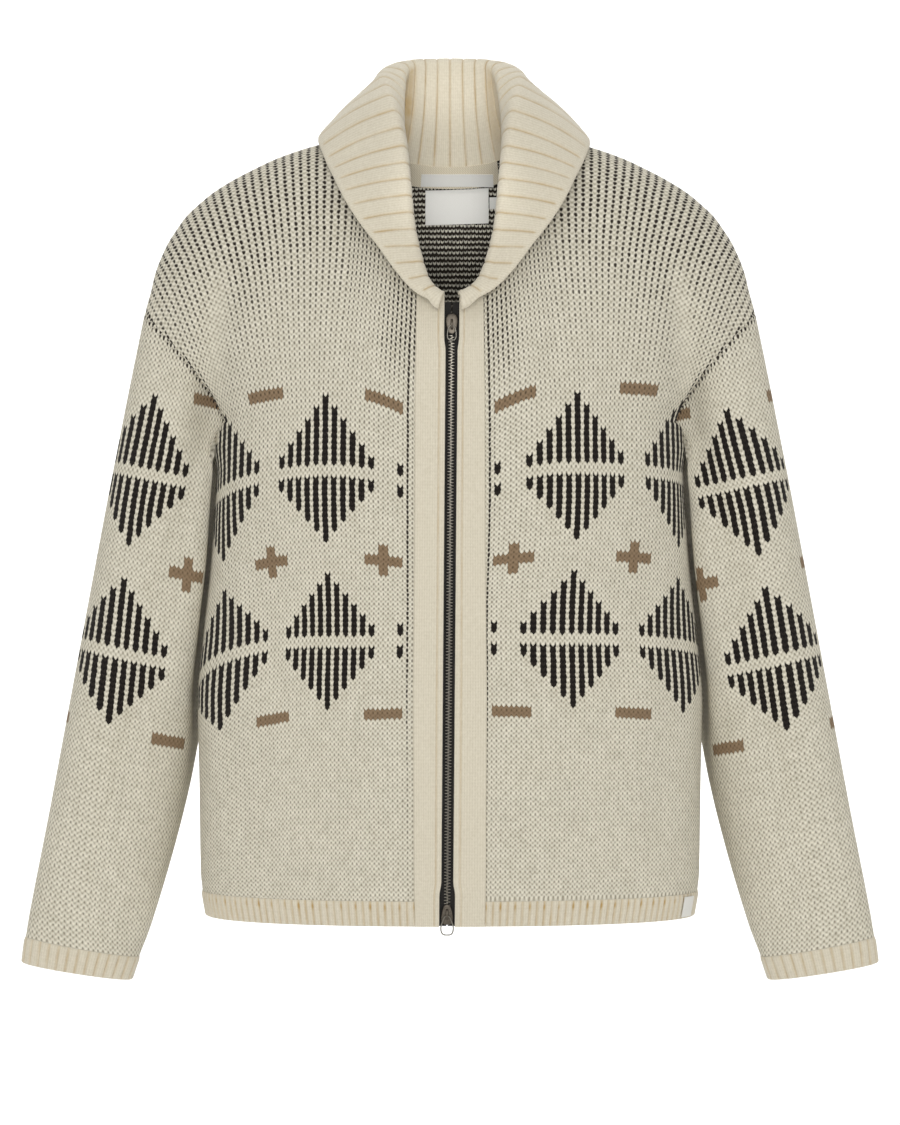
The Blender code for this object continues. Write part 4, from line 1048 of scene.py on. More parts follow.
@dataclass(frozen=True)
class TwoColourKnit:
    """Stranded wool jersey: cream stitches with a near-black yarn carried behind.

    The lozenges repeat every 26 wales; a wale is 4.1 mm and a course 4.9 mm, a few pixels wide. Wool is
    matt with a soft sheen; a stitch's two legs part in small holes, staggered like a brick wall, and the
    dark yarn peeps through the ones between wales wherever the cloth is stretched.
    """

    # The second cream and oat colours are those yarns in painted shade; the second black is the black yarn
    # under a painted highlight.
    cream: str = "#e9e3d2"
    cream_painted_shade: str = "#8f8873"
    dark: str = "#0c0908"
    dark_painted_highlight: str = "#27221e"
    oat: str = "#917b61"
    oat_painted_shade: str = "#665440"
    behind: str = "#2b241e"
    roughness: float = 0.92
    repeat: float = 26.0
    upper_middle: float = 13.0
    cross_middle: float = 29.0
    lower_middle: float = 45.0
    half_tall: float = 13.0

    def stitch(self, n: Nodes) -> dict[str, Socket]:
        """The pattern's coordinates: wale and course, the place across a wale, and the leg of the V.

        Hand-spun unevenness shifts both counts by up to a tenth of a stitch.

        Args:
            n: The material's nodes.

        Returns:
            Each coordinate by its name.
        """
        uv = n.add("SeparateXYZ", n.add("UVMap", uv_map="stitch"))
        uneven = n.add("TexNoise", n.add("TexCoord", out="Object"), out="Color", Scale=190.0, Detail=1.0)
        shift = n.add("SeparateXYZ", uneven)
        across = n.add("*+", n.add("-", shift, 0.5), 0.34, uv)
        down = n.add("*+", n.add("-", shift.node.outputs[1], 0.5), 0.42, uv.node.outputs[1])
        place = n.add("fract", n.add("+", across, 0.5))
        edge = n.add("abs", n.add("-", n.add("*", place, 2.0), 1.0))
        leg = n.add("+", down, n.add("*", edge, 0.55))
        cell = n.add("CombineXYZ", n.add("floor", across), n.add("floor", down))
        chance = n.add("TexWhiteNoise", cell, noise_dimensions="2D")
        return {"across": n.add("abs", across), "down": down, "edge": edge, "leg": leg, "chance": chance,
                "wale": n.add("abs", n.add("round", across))}

    def bars(self, n: Nodes, s: dict[str, Socket]) -> Socket:
        """The lozenges: on every second wale an upright bar, shorter by two courses a step from the middle.

        Args:
            n: The material's nodes.
            s: The coordinates that stitch() gives.

        Returns:
            One inside a bar, else zero.
        """
        off = n.add("Math PINGPONG", s["across"], 1.0)
        ripple = n.add("*", n.add("sin", n.add("*", s["leg"], math.tau)), 0.08)
        near = n.add("MapRange SMOOTHSTEP", off, n.add("+", ripple, 0.55), n.add("+", ripple, 0.71), 1.0,
                     0.0)
        wale = n.add("*", n.add("round", n.add("*", s["across"], 0.5)), 2.0)
        into = n.add("modulo", wale, self.repeat)
        step = n.add("min", into, n.add("-", self.repeat, into))
        leg = n.add("+", s["down"], n.add("*", n.add("min", off, 0.62), 1.1))
        course = n.add("+", n.add("floor", leg), 0.5)
        away = n.add("min", n.add("abs", n.add("-", course, self.upper_middle)),
                     n.add("abs", n.add("-", course, self.lower_middle)))
        inside = n.add("*", n.add(">", away, 1.0), n.add("<", away, n.add("-", self.half_tall, step)))
        plain = n.add("Attribute", out="Fac", attribute_name="plain")
        drawn = n.add("*", n.add("<", step, 10.5), n.add("-", 1.0, plain))
        return n.add("*", n.add("*", inside, near), drawn)

    def crosses(self, n: Nodes, s: dict[str, Socket]) -> Socket:
        """The small crosses between the lozenges, and the dashes level with their outer tips.

        Args:
            n: The material's nodes.
            s: The coordinates that stitch() gives.

        Returns:
            One inside a cross or a dash, else zero.
        """
        course = n.add("+", n.add("floor", s["leg"]), 0.5)
        off = n.add("abs", n.add("-", n.add("modulo", s["wale"], self.repeat), 13.5))
        wide, slim = n.add("<", off, 4.0), n.add("<", off, 1.0)
        level = n.add("abs", n.add("-", course, self.cross_middle))
        upright = n.add("*", slim, n.add("<", level, 3.0))
        top = n.add("<", n.add("abs", n.add("+", course, 1.0)), 1.0)
        foot = n.add("<", n.add("abs", n.add("-", course, 59.0)), 1.0)
        level = n.add("max", n.add("<", level, 1.0), n.add("max", top, foot))
        return n.add("max", upright, n.add("*", wide, level))

    def legs(self, n: Nodes, s: dict[str, Socket]) -> Socket:
        """The rounded height of a stitch's two legs: full at their middles, low between them.

        Args:
            n: The material's nodes.
            s: The coordinates that stitch() gives.

        Returns:
            A height from 0 to 1.
        """
        along = n.add("sin", n.add("*", n.add("fract", s["leg"]), math.pi))
        side = n.add("sin", n.add("*", n.add("fract", n.add("+", s["edge"], 0.08)), math.pi))
        return n.add("*", n.add("power", along, 0.7), n.add("power", n.add("abs", side), 0.35))

    def brickwork(self, n: Nodes, s: dict[str, Socket]) -> Socket:
        """Painted shade in the small holes, as half of 1 - cos(wale) cos(course): low inside each V and,
        half a course on, between two.

        Args:
            n: The material's nodes.
            s: The coordinates that stitch() gives.

        Returns:
            A lightness from 0 to 1.
        """
        wave = n.add("*", n.add("cos", n.add("*", s["across"], math.tau)),
                     n.add("cos", n.add("*", s["down"], math.tau)))
        return n.add("-", 0.5, n.add("*", wave, 0.5))

    def dots(self, n: Nodes, s: dict[str, Socket]) -> Socket:
        """Dark yarn seen through the holes between wales, one a course, wider at its top than its foot.

        The speck mark sets how wide the holes open; chance and a slow drift along each course vary them.

        Args:
            n: The material's nodes.
            s: The coordinates that stitch() gives.

        Returns:
            The share of dark yarn, from 0 to 1.
        """
        mark = n.add("Attribute", out="Fac", attribute_name="speck")
        course = n.add("CombineXYZ", n.add("*", s["across"], 0.16), n.add("floor", s["down"]))
        drift = n.add("TexNoise", course, noise_dimensions="2D", Scale=1.0, Detail=1.0)
        uneven = n.add("+", n.add("*", s["chance"], 0.50), n.add("*+", drift, 0.8, -0.62))
        mark = n.add("*", mark, n.add("*+", uneven, n.add("-", 1.1, mark), 1.0))
        fall = n.add("-", n.add("fract", n.add("+", s["down"], 0.03)), 0.5)
        width = n.add("*", n.add("*+", mark, 0.38, 0.14), n.add("*+", fall, -0.9, 1.0))
        side = n.add("/", n.add("-", 1.0, s["edge"]), width)
        level = n.add("/", n.add("abs", fall), n.add("*+", mark, 0.30, 0.17))
        far = n.add("root", n.add("+", n.add("*", side, side), n.add("*", level, level)))
        return n.add("*", n.add("MapRange SMOOTHSTEP", far, 0.6, 1.4, 1.0, 0.0),
                     n.add("min", n.add("*", mark, 1.3), 1.0))

    def right_side(self) -> Material:
        """The outside of the cloth, with painted shade in the small holes between the legs and a painted
        highlight on each leg's crown.

        Returns:
            The material.
        """
        n = Nodes(Shade.RIGHT_SIDE.value)
        s = self.stitch(n)
        body = n.add("TexCoord", out="Object")
        cloudy = n.add("TexNoise", body, Scale=120.0, Detail=3.0)
        fuzz = n.add("TexNoise", body, Scale=900.0, Detail=1.0)
        legs = self.legs(n, s)
        # Painted light: painted shade in the holes between the legs and a painted highlight on their
        # crowns; chance and cloudy add the wool's own random tone.
        light = n.add("+", n.add("*", self.brickwork(n, s), 0.52), n.add("*", legs, 0.20))
        light = n.add("+", light, n.add("+", n.add("*", s["chance"], 0.12), n.add("*", cloudy, 0.22)))
        ground = n.add("Mix RGBA", light, to_linear(self.cream_painted_shade), to_linear(self.cream))
        oat = n.add("Mix RGBA", light, to_linear(self.oat_painted_shade), to_linear(self.oat))
        ground = n.add("Mix RGBA", self.crosses(n, s), ground, oat)
        ground = n.add("Mix RGBA", self.dots(n, s), ground, to_linear(self.behind))
        # Painted highlight: the black legs are lighter on their crowns.
        dark = n.add("Mix RGBA", legs, to_linear(self.dark), to_linear(self.dark_painted_highlight))
        height = n.add("+", legs, n.add("*", fuzz, 0.18))
        return n.finish(n.add("Mix RGBA", self.bars(n, s), ground, dark), self.roughness, height, 0.55,
                        0.0007, Sheen_Weight=0.04, Sheen_Roughness=0.6, Specular_IOR_Level=0.1)

    def wrong_side(self) -> Material:
        """The inside of the cloth: dark strands crossed by small cream bumps that curve like smiles.

        Returns:
            The material.
        """
        n = Nodes(Shade.WRONG_SIDE.value)
        s = self.stitch(n)
        smile = n.add("+", s["down"], n.add("*", n.add("*", s["edge"], s["edge"]), 0.40))
        level = n.add("abs", n.add("-", n.add("fract", smile), 0.5))
        bumps = n.add("*", n.add("MapRange SMOOTHSTEP", level, 0.12, 0.28, 1.0, 0.0),
                      n.add("MapRange SMOOTHSTEP", s["edge"], 0.675, 0.925, 1.0, 0.0))
        colour = n.add("Mix RGBA", n.add("*", bumps, n.add("+", 0.6, n.add("*", s["chance"], 0.4))),
                       to_linear("#28231d"), to_linear("#dbd6c6"))
        return n.finish(colour, self.roughness, bumps, 0.6, 0.0008, Sheen_Weight=0.05,
                        Specular_IOR_Level=0.1)


@dataclass(frozen=True)
class RibKnit:
    """Fine cream wool rib: faint wales 2.2 mm apart drawn with painted shade between them, and painted tan
    shade where the grooves fold in.

    Combed wool is matt and a little soft at its edges, so it takes a rough surface with a weak sheen.
    """

    cream: str = "#dcd5c3"
    cream_painted_shade: str = "#b8ae97"
    painted_groove_shade: str = "#b0935e"
    roughness: float = 0.9

    def material(self) -> Material:
        """The rib's material, on the stitch count and the mark of painted shade in the grooves.

        Returns:
            The material.
        """
        n = Nodes("cream_rib_knit")
        uv = n.add("SeparateXYZ", n.add("UVMap", uv_map="stitch"))
        across, down = uv.node.outputs[0], uv.node.outputs[1]
        edge = n.add("abs", n.add("-", n.add("*", n.add("fract", across), 2.0), 1.0))
        leg = n.add("fract", n.add("+", down, n.add("*", edge, 0.5)))
        wale = n.add("power", n.add("-", 1.0, edge), 0.6)
        course = n.add("sin", n.add("*", leg, math.pi))
        height = n.add("+", n.add("*", wale, 0.7), n.add("*", course, 0.3))
        painted_groove_shade = n.add("Attribute", out="Fac", attribute_name="painted_groove_shade")
        flecks = n.add("TexNoise", n.add("TexCoord", out="Object"), Scale=420.0, Detail=4.0)
        # Painted shade: the cream is darker between the wales and courses, by the rib's height; the flecks
        # are the wool's own random tone.
        light = n.add("+", n.add("*", height, 0.40), n.add("*", flecks, 0.60))
        colour = n.add("Mix RGBA", light, to_linear(self.cream_painted_shade), to_linear(self.cream))
        # Painted tan shade in the grooves, in the crease and beside the collar's roll, made patchy by a
        # slow noise.
        mark_strength = n.add("TexNoise", n.add("TexCoord", out="Object"), Scale=55.0, Detail=2.0)
        share = n.add("*", painted_groove_shade, n.add("*+", mark_strength, 1.1, -0.05))
        colour = n.add("Mix RGBA", share, colour, to_linear(self.painted_groove_shade))
        return n.finish(colour, self.roughness, height, 0.35, 0.0004, Sheen_Weight=0.15,
                        Sheen_Roughness=0.6, Specular_IOR_Level=0.2)


@dataclass(frozen=True)
class WovenTape:
    """A narrow woven tape: a twill that slants one way, as on zip tapes, neck tapes and labels.

    Flat threads give an even face that is slightly less matt than wool, with fine slanting lines.
    """

    name: str
    light: str
    shade: str
    thread: float = 0.0006
    roughness: float = 0.8

    def material(self) -> Material:
        """Threads of the given width on a slant, with the light side on their crowns.

        Returns:
            The material.
        """
        n = Nodes(self.name)
        place = n.add("SeparateXYZ", n.add("TexCoord", out="Object"))
        x, z = place.node.outputs[0], place.node.outputs[2]
        weft = n.add("sin", n.add("*", n.add("+", x, z), math.tau / (self.thread * 2.2)))
        warp = n.add("sin", n.add("*", x, math.tau / (self.thread * 1.6)))
        height = n.add("+", n.add("*", weft, 0.3), n.add("*", warp, 0.2))
        height = n.add("+", height, 0.5)
        colour = n.add("Mix RGBA", height, to_linear(self.shade), to_linear(self.light))
        return n.finish(colour, self.roughness, height, 0.3, 0.0002, Sheen_Weight=0.1,
                        Specular_IOR_Level=0.3)


@dataclass(frozen=True)
class PlatedMetal:
    """Zip metal: die-cast zinc with a plated, lightly tumbled surface.

    Tumbling dulls the gloss unevenly, so highlights are broad and vary from place to place.
    """

    name: str
    colour: str
    dull: str
    roughness: float = 0.34

    def material(self) -> Material:
        """A metal whose roughness and colour drift over about 2 mm.

        Returns:
            The material.
        """
        n = Nodes(self.name)
        drift = n.add("TexNoise", n.add("TexCoord", out="Object"), Scale=700.0, Detail=3.0)
        rough = n.add("+", self.roughness - 0.08, n.add("*", drift, 0.16))
        return n.finish(n.add("Mix RGBA", drift, to_linear(self.dull), to_linear(self.colour)), rough,
                        drift, 0.1, 0.0001, Metallic=1.0)


@dataclass
class Wardrobe:
    """Every finish of the garment, made once."""

    knit: Material
    inside: Material
    rib: Material
    zip_tape: Material
    neck_tape: Material
    label: Material
    gunmetal: Material
    slider: Material
    nickel: Material

    @classmethod
    def make(cls) -> "Wardrobe":
        """Makes the materials.

        Returns:
            The wardrobe.
        """
        knit = TwoColourKnit()
        return cls(
            knit.right_side(), knit.wrong_side(), RibKnit().material(),
            WovenTape("black_twill_zip_tape", "#2b2926", "#121110").material(),
            WovenTape("cream_neck_tape", "#e2dac6", "#bfb297", 0.0009).material(),
            WovenTape("white_satin_label", "#e6e5e0", "#cfcdc6", 0.0005).material(),
            PlatedMetal("gunmetal_plated_zinc", "#b3ada0", "#7d776c").material(),
            PlatedMetal("dark_gunmetal_plated_zinc", "#7a7267", "#47423b", 0.42).material(),
            PlatedMetal("nickel_plated_zinc", "#9c978d", "#6b675f", 0.30).material())


def put_on(piece: Piece, node: str, body: str = "garment") -> None:
    """Hides the CAD node that a piece stands for, hangs the piece on the body that carries it, and logs its
    faces.

    Args:
        piece: The finished object.
        node: The CAD node it stands for.
        body: The body that carries it.
    """
    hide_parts(node)
    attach(piece, body)
    log.info("%s: %d faces", piece.name, len(piece.data.polygons))


@dataclass
class Panels:
    """The two fronts, the back and the two sleeves."""

    wardrobe: Wardrobe
    sleeve_rows: int = 190
    fronts: dict[Side, HalfPanel] = field(init=False)
    back: HalfPanel = field(init=False)

    def __post_init__(self) -> None:
        """Lays out the panels and gives neighbours the same way out along their seams."""
        self.fronts = {side: HalfPanel(Face.FRONT, FORM.band_wale, count)
                       for side, count in ((Side.LEFT, LEFT_COUNT), (Side.RIGHT, RIGHT_COUNT))}
        self.back = HalfPanel(Face.BACK, 0.0, BACK_COUNT)
        self.sleeves = {side: self.sleeve(count)
                        for side, count in ((Side.LEFT, LEFT_SLEEVE), (Side.RIGHT, RIGHT_SLEEVE))}
        back = self.back
        for side, front in self.fronts.items():
            tops = (front.seams["top"][front.neck_count:], back.seams["top"][back.neck_count:])
            for first, second in ((front.seams["side"], back.seams["side"]), tops):
                way = unit(front.cloth.normals[first] + back.cloth.normals[second])
                front.cloth.normals[first] = way
                back.cloth.normals[second] = way
            sleeve = self.sleeves[side]
            hole = np.arange(len(front.seams["armhole"]))
            way = unit(front.cloth.normals[front.seams["armhole"]] + sleeve.normals[hole])
            front.cloth.normals[front.seams["armhole"]] = way
            sleeve.normals[hole] = way
            rear = back.seams["armhole"]
            count = len(front.seams["armhole"]) + len(rear) - 2
            places = np.concatenate([[0], count - 1 - np.arange(len(rear) - 2), [len(hole) - 1]])
            way = unit(back.cloth.normals[rear] + sleeve.normals[places])
            sleeve.normals[places] = way
            back.cloth.normals[rear] = way
            self.level_hem(front)
            self.level_cuff(sleeve)
        self.level_hem(back)
        self.neck_ways()

    @staticmethod
    def level_hem(panel: HalfPanel) -> None:
        """Points the cloth's way out straight sideways along the hem, to meet the rib."""
        hem = panel.seams["hem"]
        panel.cloth.normals[hem] = unit(panel.cloth.normals[hem] * [1.0, 1.0, 0.0])

    def level_cuff(self, sleeve: Cloth) -> None:
        """Points the sleeve's way out square to the arm at the cuff.

        Args:
            sleeve: The sleeve.
        """
        wide = len(sleeve.points) // self.sleeve_rows
        lean = math.radians(10.0)
        down = np.array([math.sin(lean), 0.0, -math.cos(lean)])
        last = slice(len(sleeve.points) - wide, len(sleeve.points))
        flat = sleeve.normals[last] - (sleeve.normals[last] @ down)[:, None] * down
        sleeve.normals[last] = unit(flat)

    def neck_ways(self) -> None:
        """Leans the panels' way out at the neck so that their rims face the collar."""
        front, back = self.fronts[Side.LEFT], self.back
        rear = back.seams["top"][:back.neck_count]
        fore = front.seams["top"][:front.neck_count + 1][::-1]
        points = np.concatenate([back.cloth.points[rear], front.cloth.points[fore]])
        ways = np.concatenate([back.cloth.normals[rear], front.cloth.normals[fore]])
        ways = unit(ways + unit(points * [1.0, 1.0, 0.0] + [1e-6, 0.0, 0.0]))
        ways[0, 0] = 0.0
        self.neck_points, self.neck_out = points, unit(ways)
        back.cloth.normals[rear] = self.neck_out[:len(rear)]
        back.cloth.normals[back.seams["top"][back.neck_count]] = self.neck_out[len(rear)]
        for panel in self.fronts.values():
            panel.cloth.normals[fore] = self.neck_out[len(rear):]

    def sleeve(self, count: SleeveCount) -> Cloth:
        """A sleeve from the armhole to the cuff.

        Each column starts at a point of the armhole and runs down the arm's rings at its own angle; the
        difference between the two fades over the first third of the way.

        Args:
            count: Where the lozenges run on it.

        Returns:
            The sleeve.
        """
        front, back = self.fronts[Side.LEFT], self.back
        loop = np.concatenate([front.cloth.points[front.seams["armhole"]],
                               back.cloth.points[back.seams["armhole"][1:-1]][::-1]])
        along = run_along(np.concatenate([loop, loop[:1]]))
        half = len(loop) // 2
        order = np.arange(len(loop))
        angles = np.where(order <= half, along[:-1] / along[half] * math.pi,
                          math.pi + (along[:-1] - along[half]) / (along[-1] - along[half]) * math.pi)
        shares = np.linspace(0, 1, self.sleeve_rows)[:, None] ** 1.12
        lean = np.radians(column(ARM.rings, "tilt", loop[:, 2]))
        out = column(ARM.rings, "half_width", loop[:, 2]) * np.cos(angles)
        first = np.minimum(-0.142, loop[:, 2] - out * np.sin(lean))
        heights = first + shares * (CUFF_TOP - first)
        points = ARM.ring(heights, np.broadcast_to(angles, heights.shape))
        points = points + (loop - ARM.ring(first, angles)) * (1 - ease(shares / 0.30))[..., None]
        points = ARM.creased(FORM.hollow(ARM.beside_body(points)), shares)
        points[0] = loop
        return self.counted(points, half, count)

    def counted(self, points: Array, half: int, count: SleeveCount) -> Cloth:
        """The sleeve's grid with its seam under the arm and its stitch count.

        Args:
            points: The grid, (rows, columns, 3).
            half: The seam's column under the arm.
            count: Where the lozenges run on it.

        Returns:
            The sleeve.
        """
        rows, columns = points.shape[:2]
        forward = run_along(points[:, :half + 1])
        ring = np.concatenate([points, points[:, :1]], axis=1)
        backward = -run_along(ring[:, half:][:, ::-1])[:, ::-1]
        heights = ARM.along_arm(ring)
        ahead = count.marks(forward, heights[:, :half + 1])
        behind = count.marks(backward, heights[:, half:])
        quads, corner = grid_quads(rows, columns, around=True)
        column_of = corner[..., 1]
        rear = column_of.min(axis=1)[:, None] >= half
        front_uv = ahead[corner[..., 0], np.minimum(column_of, half)]
        rear_uv = behind[corner[..., 0], np.clip(column_of - half, 0, columns - half)]
        stitches = np.where(rear[..., None], rear_uv, front_uv)
        down = np.broadcast_to(np.linspace(0, 1, rows)[:, None], (rows, columns))
        mark_strength = 0.22 + 0.22 * (1 - ease(down / 0.10)) + 0.60 * (down * (rows - 1) < 2.5)
        wales = np.concatenate([ahead[..., 0], behind[:, 1:-1, 0]], axis=1)
        inner = (wales > 14.5) | (wales < -38.0)
        return Cloth(points.reshape(-1, 3), quads, stitches, mark_strength.reshape(-1).copy(),
                     inside=(0.26, 0.02, -0.42), plain=inner.reshape(-1).astype(float))

    def whole_back(self) -> Cloth:
        """The two halves of the back as one panel, joined down the centre wale.

        Returns:
            The back.
        """
        half, centre = self.back.cloth, self.back.seams["centre"]
        half.normals[centre, 0] = 0.0
        half.normals = unit(half.normals)
        count = len(half.points)
        renamed = np.arange(count) + count
        renamed[centre] = centre
        flip = np.array([-1.0, 1.0, 1.0])
        quads = np.concatenate([half.quads, renamed[half.quads][:, ::-1]])
        used, places = np.unique(quads, return_inverse=True)
        points = np.concatenate([half.points, half.points * flip])[used]
        normals = np.concatenate([half.normals, half.normals * flip])[used]
        return Cloth(points, places.reshape(quads.shape),
                     np.concatenate([half.stitches, half.stitches[:, ::-1]]), np.tile(half.speck, 2)[used],
                     None, half.inside, normals)

    def dress(self) -> None:
        """Makes the five panels, in the two-colour knitting outside and its wrong side within."""
        finishes = [self.wardrobe.knit, self.wardrobe.inside]
        for side, front in self.fronts.items():
            cloth = front.cloth if side is Side.LEFT else front.cloth.mirrored()
            piece = cloth.shell(f"knit_front_{side.word}", WALL, finishes,
                                fullness=self.eased(cloth))
            put_on(piece, f"front_{side.word}")
        whole = self.whole_back()
        piece = whole.shell("knit_back", WALL, finishes, fullness=self.eased(whole))
        put_on(piece, "back")
        for side, sleeve in self.sleeves.items():
            cloth = sleeve if side is Side.LEFT else sleeve.mirrored()
            piece = cloth.shell(f"knit_sleeve_{side.word}", WALL, finishes,
                                fullness=self.eased(cloth))
            put_on(piece, f"sleeve_{side.word}")

    @staticmethod
    def eased(cloth: Cloth) -> Array:
        """The wall's fullness: a little thinner right at the seams, so each one lies in a shallow valley.

        Args:
            cloth: The piece of cloth.

        Returns:
            The share of the wall at each point.
        """
        starts, ends, _ = cloth.edges()
        full = np.ones(len(cloth.points))
        sewn = np.concatenate([starts, ends])
        full[sewn] = np.where(cloth.points[sewn, 2] > RIB_TOP + 0.0005, 0.70, 1.0)
        return full


def rib_profile(shares: Array, ribs: int, pitch: float) -> tuple[Array, Array]:
    """A rib fabric's relief: flat-topped ribs parted by narrow grooves.

    Args:
        shares: Places along the fabric, from 0 to 1.
        ribs: How many ribs it has.
        pitch: The distance between grooves.

    Returns:
        How far each place is raised, one less a bell curve across each of the grooves, and that bell curve.
    """
    turn = shares * ribs
    away = np.abs(turn - np.round(turn)) * pitch
    bell = np.exp(-((away / 0.0011) ** 2))
    return RIB_HEIGHT * (1 - bell), bell


@dataclass
class Ribs:
    """The hem's ribs and the two cuffs."""

    wardrobe: Wardrobe
    hem_ribs: int = 38
    cuff_ribs: int = 28
    points_a_rib: int = 10
    hem_pitch: float = 0.0064
    cuff_pitch: float = 0.0086

    def rows(self) -> tuple[Array, Array]:
        """Shares up a rib and the wall's fullness there: its lower edge is rounded like half a circle.

        Returns:
            The shares, and the fullness at each.
        """
        shares = np.concatenate([[0.0, 0.012, 0.04, 0.08], np.linspace(0.12, 1.0, 14)])
        full = np.sqrt(np.clip(1 - (1 - np.clip(shares / 0.08, 0, 1)) ** 2, 0.06, 1))
        return shares, full

    def hem(self, face: Face) -> tuple[Cloth, Array, Array]:
        """The hem's rib below one front, or below the back from side seam to side seam.

        Args:
            face: The front or the back of the body.

        Returns:
            The cloth, the relief of every point, and the share of the wall it has.
        """
        front = face is Face.FRONT
        ribs = self.hem_ribs if front else 2 * (self.hem_ribs + 4)
        first = FORM.band_wale if front else -FORM.side_wale
        across = np.linspace(0, 1, ribs * self.points_a_rib + 1)
        shares, full = self.rows()
        heights = HEM + (RIB_TOP - HEM) * shares
        wales = first + (FORM.side_wale - first) * across
        grid = np.stack([FORM.section(heights, abs(wale), face) * [-1.0 if wale < 0 else 1.0, 1.0, 1.0]
                         for wale in wales], axis=1)
        return self.relief(grid, across, ribs, self.hem_pitch, full, False, (0.0, 0.0, -0.4))

    def relief(self, grid: Array, across: Array, ribs: int, pitch: float, full: Array, around: bool,
               inside: Point) -> tuple[Cloth, Array, Array]:
        """Cloth on a grid of ribs, with its relief and fullness at every point.

        Args:
            grid: Its points, (rows, columns, 3).
            across: The share of the way along at each column.
            ribs: How many ribs it has.
            pitch: The distance between grooves.
            full: The wall's fullness at each row.
            around: Whether it closes into a ring.
            inside: A point inside it.

        Returns:
            The cloth, the relief of every point, and the share of the wall it has.
        """
        raised, bell = rib_profile(across, ribs, pitch)
        rows = len(grid)
        turns = across * ribs * pitch / RIB_WALE
        if around:
            turns = np.append(turns, ribs * pitch / RIB_WALE)
        up = np.arange(rows)[:, None] * 0.6
        stitches = pairs_of(turns[None, :], up)
        # Painted shade in the grooves, deeper in short spots about four fifths of the way up at every
        # second one of the hem.
        second = np.cos(across * ribs * math.pi) ** 2 if not around else np.zeros(len(across))
        hole = np.exp(-(((np.linspace(0, 1, rows) - 0.80) / 0.10) ** 2))
        shade = bell[None, :] * (0.75 + 1.5 * hole[:, None] * second[None, :]
                                 * np.cos(across * ribs * math.pi / 2) ** 4)
        cloth = grid_cloth(grid, stitches, 0.0, shade, around, inside)
        fade = full[:, None] * np.ones((1, grid.shape[1]))
        top = 1 - 0.7 * ease((np.linspace(0, 1, rows) - 0.88) / 0.12)
        return cloth, (raised[None, :] * fade * top[:, None]).reshape(-1), fade.reshape(-1)

    def cuff(self) -> tuple[Cloth, Array, Array]:
        """A cuff, from its turned lower edge up to the sleeve.

        Returns:
            The cloth, the relief of every point, and the share of the wall it has.
        """
        around = self.cuff_ribs * self.points_a_rib
        shares, full = self.rows()
        heights = CUFF_FOOT + 0.022 * shares
        across = np.arange(around) / around
        dense = ARM.ring(np.repeat(heights[:, None], 721, axis=1), np.linspace(0, math.tau, 721)[None, :])
        grid = np.stack([at_shares(line, across) for line in dense])
        cloth, raised, fade = self.relief(grid, across, self.cuff_ribs, self.cuff_pitch, full, True,
                                          (0.33, 0.0035, -0.719))
        lean = np.repeat(np.radians(column(ARM.rings, "tilt", heights)), around)
        down = np.stack([np.sin(lean), 0 * lean, -np.cos(lean)], axis=1)
        cloth.normals = unit(cloth.normals - (cloth.normals * down).sum(1)[:, None] * down)
        return cloth, raised, fade

    def dress(self) -> None:
        """Makes the ribs in the cream rib knitting."""
        front, raised, full = self.hem(Face.FRONT)
        self.square(front)
        for side in Side:
            cloth = front if side is Side.LEFT else front.mirrored()
            piece = cloth.shell(f"rib_hem_front_{side.word}", WALL, [self.wardrobe.rib], raised,
                                full)
            put_on(piece, f"hem_rib_front_{side.word}")
        back, raised, full = self.hem(Face.BACK)
        self.square(back)
        piece = back.shell("rib_hem_back", WALL, [self.wardrobe.rib], raised, full)
        put_on(piece, "hem_rib_back")
        cuff, raised, full = self.cuff()
        for side in Side:
            cloth = cuff if side is Side.LEFT else cuff.mirrored()
            piece = cloth.shell(f"rib_cuff_{side.word}", WALL, [self.wardrobe.rib], raised, full)
            put_on(piece, f"cuff_{side.word}")

    @staticmethod
    def square(cloth: Cloth) -> None:
        """Levels the way out, and squares it to the side at the side seams.

        Args:
            cloth: The piece of cloth.
        """
        cloth.normals = unit(cloth.normals * [1.0, 1.0, 0.0])
        side = np.abs(cloth.points[:, 1]) < 0.0008
        cloth.normals[side] = unit(cloth.points[side] * [1.0, 0.0, 0.0])


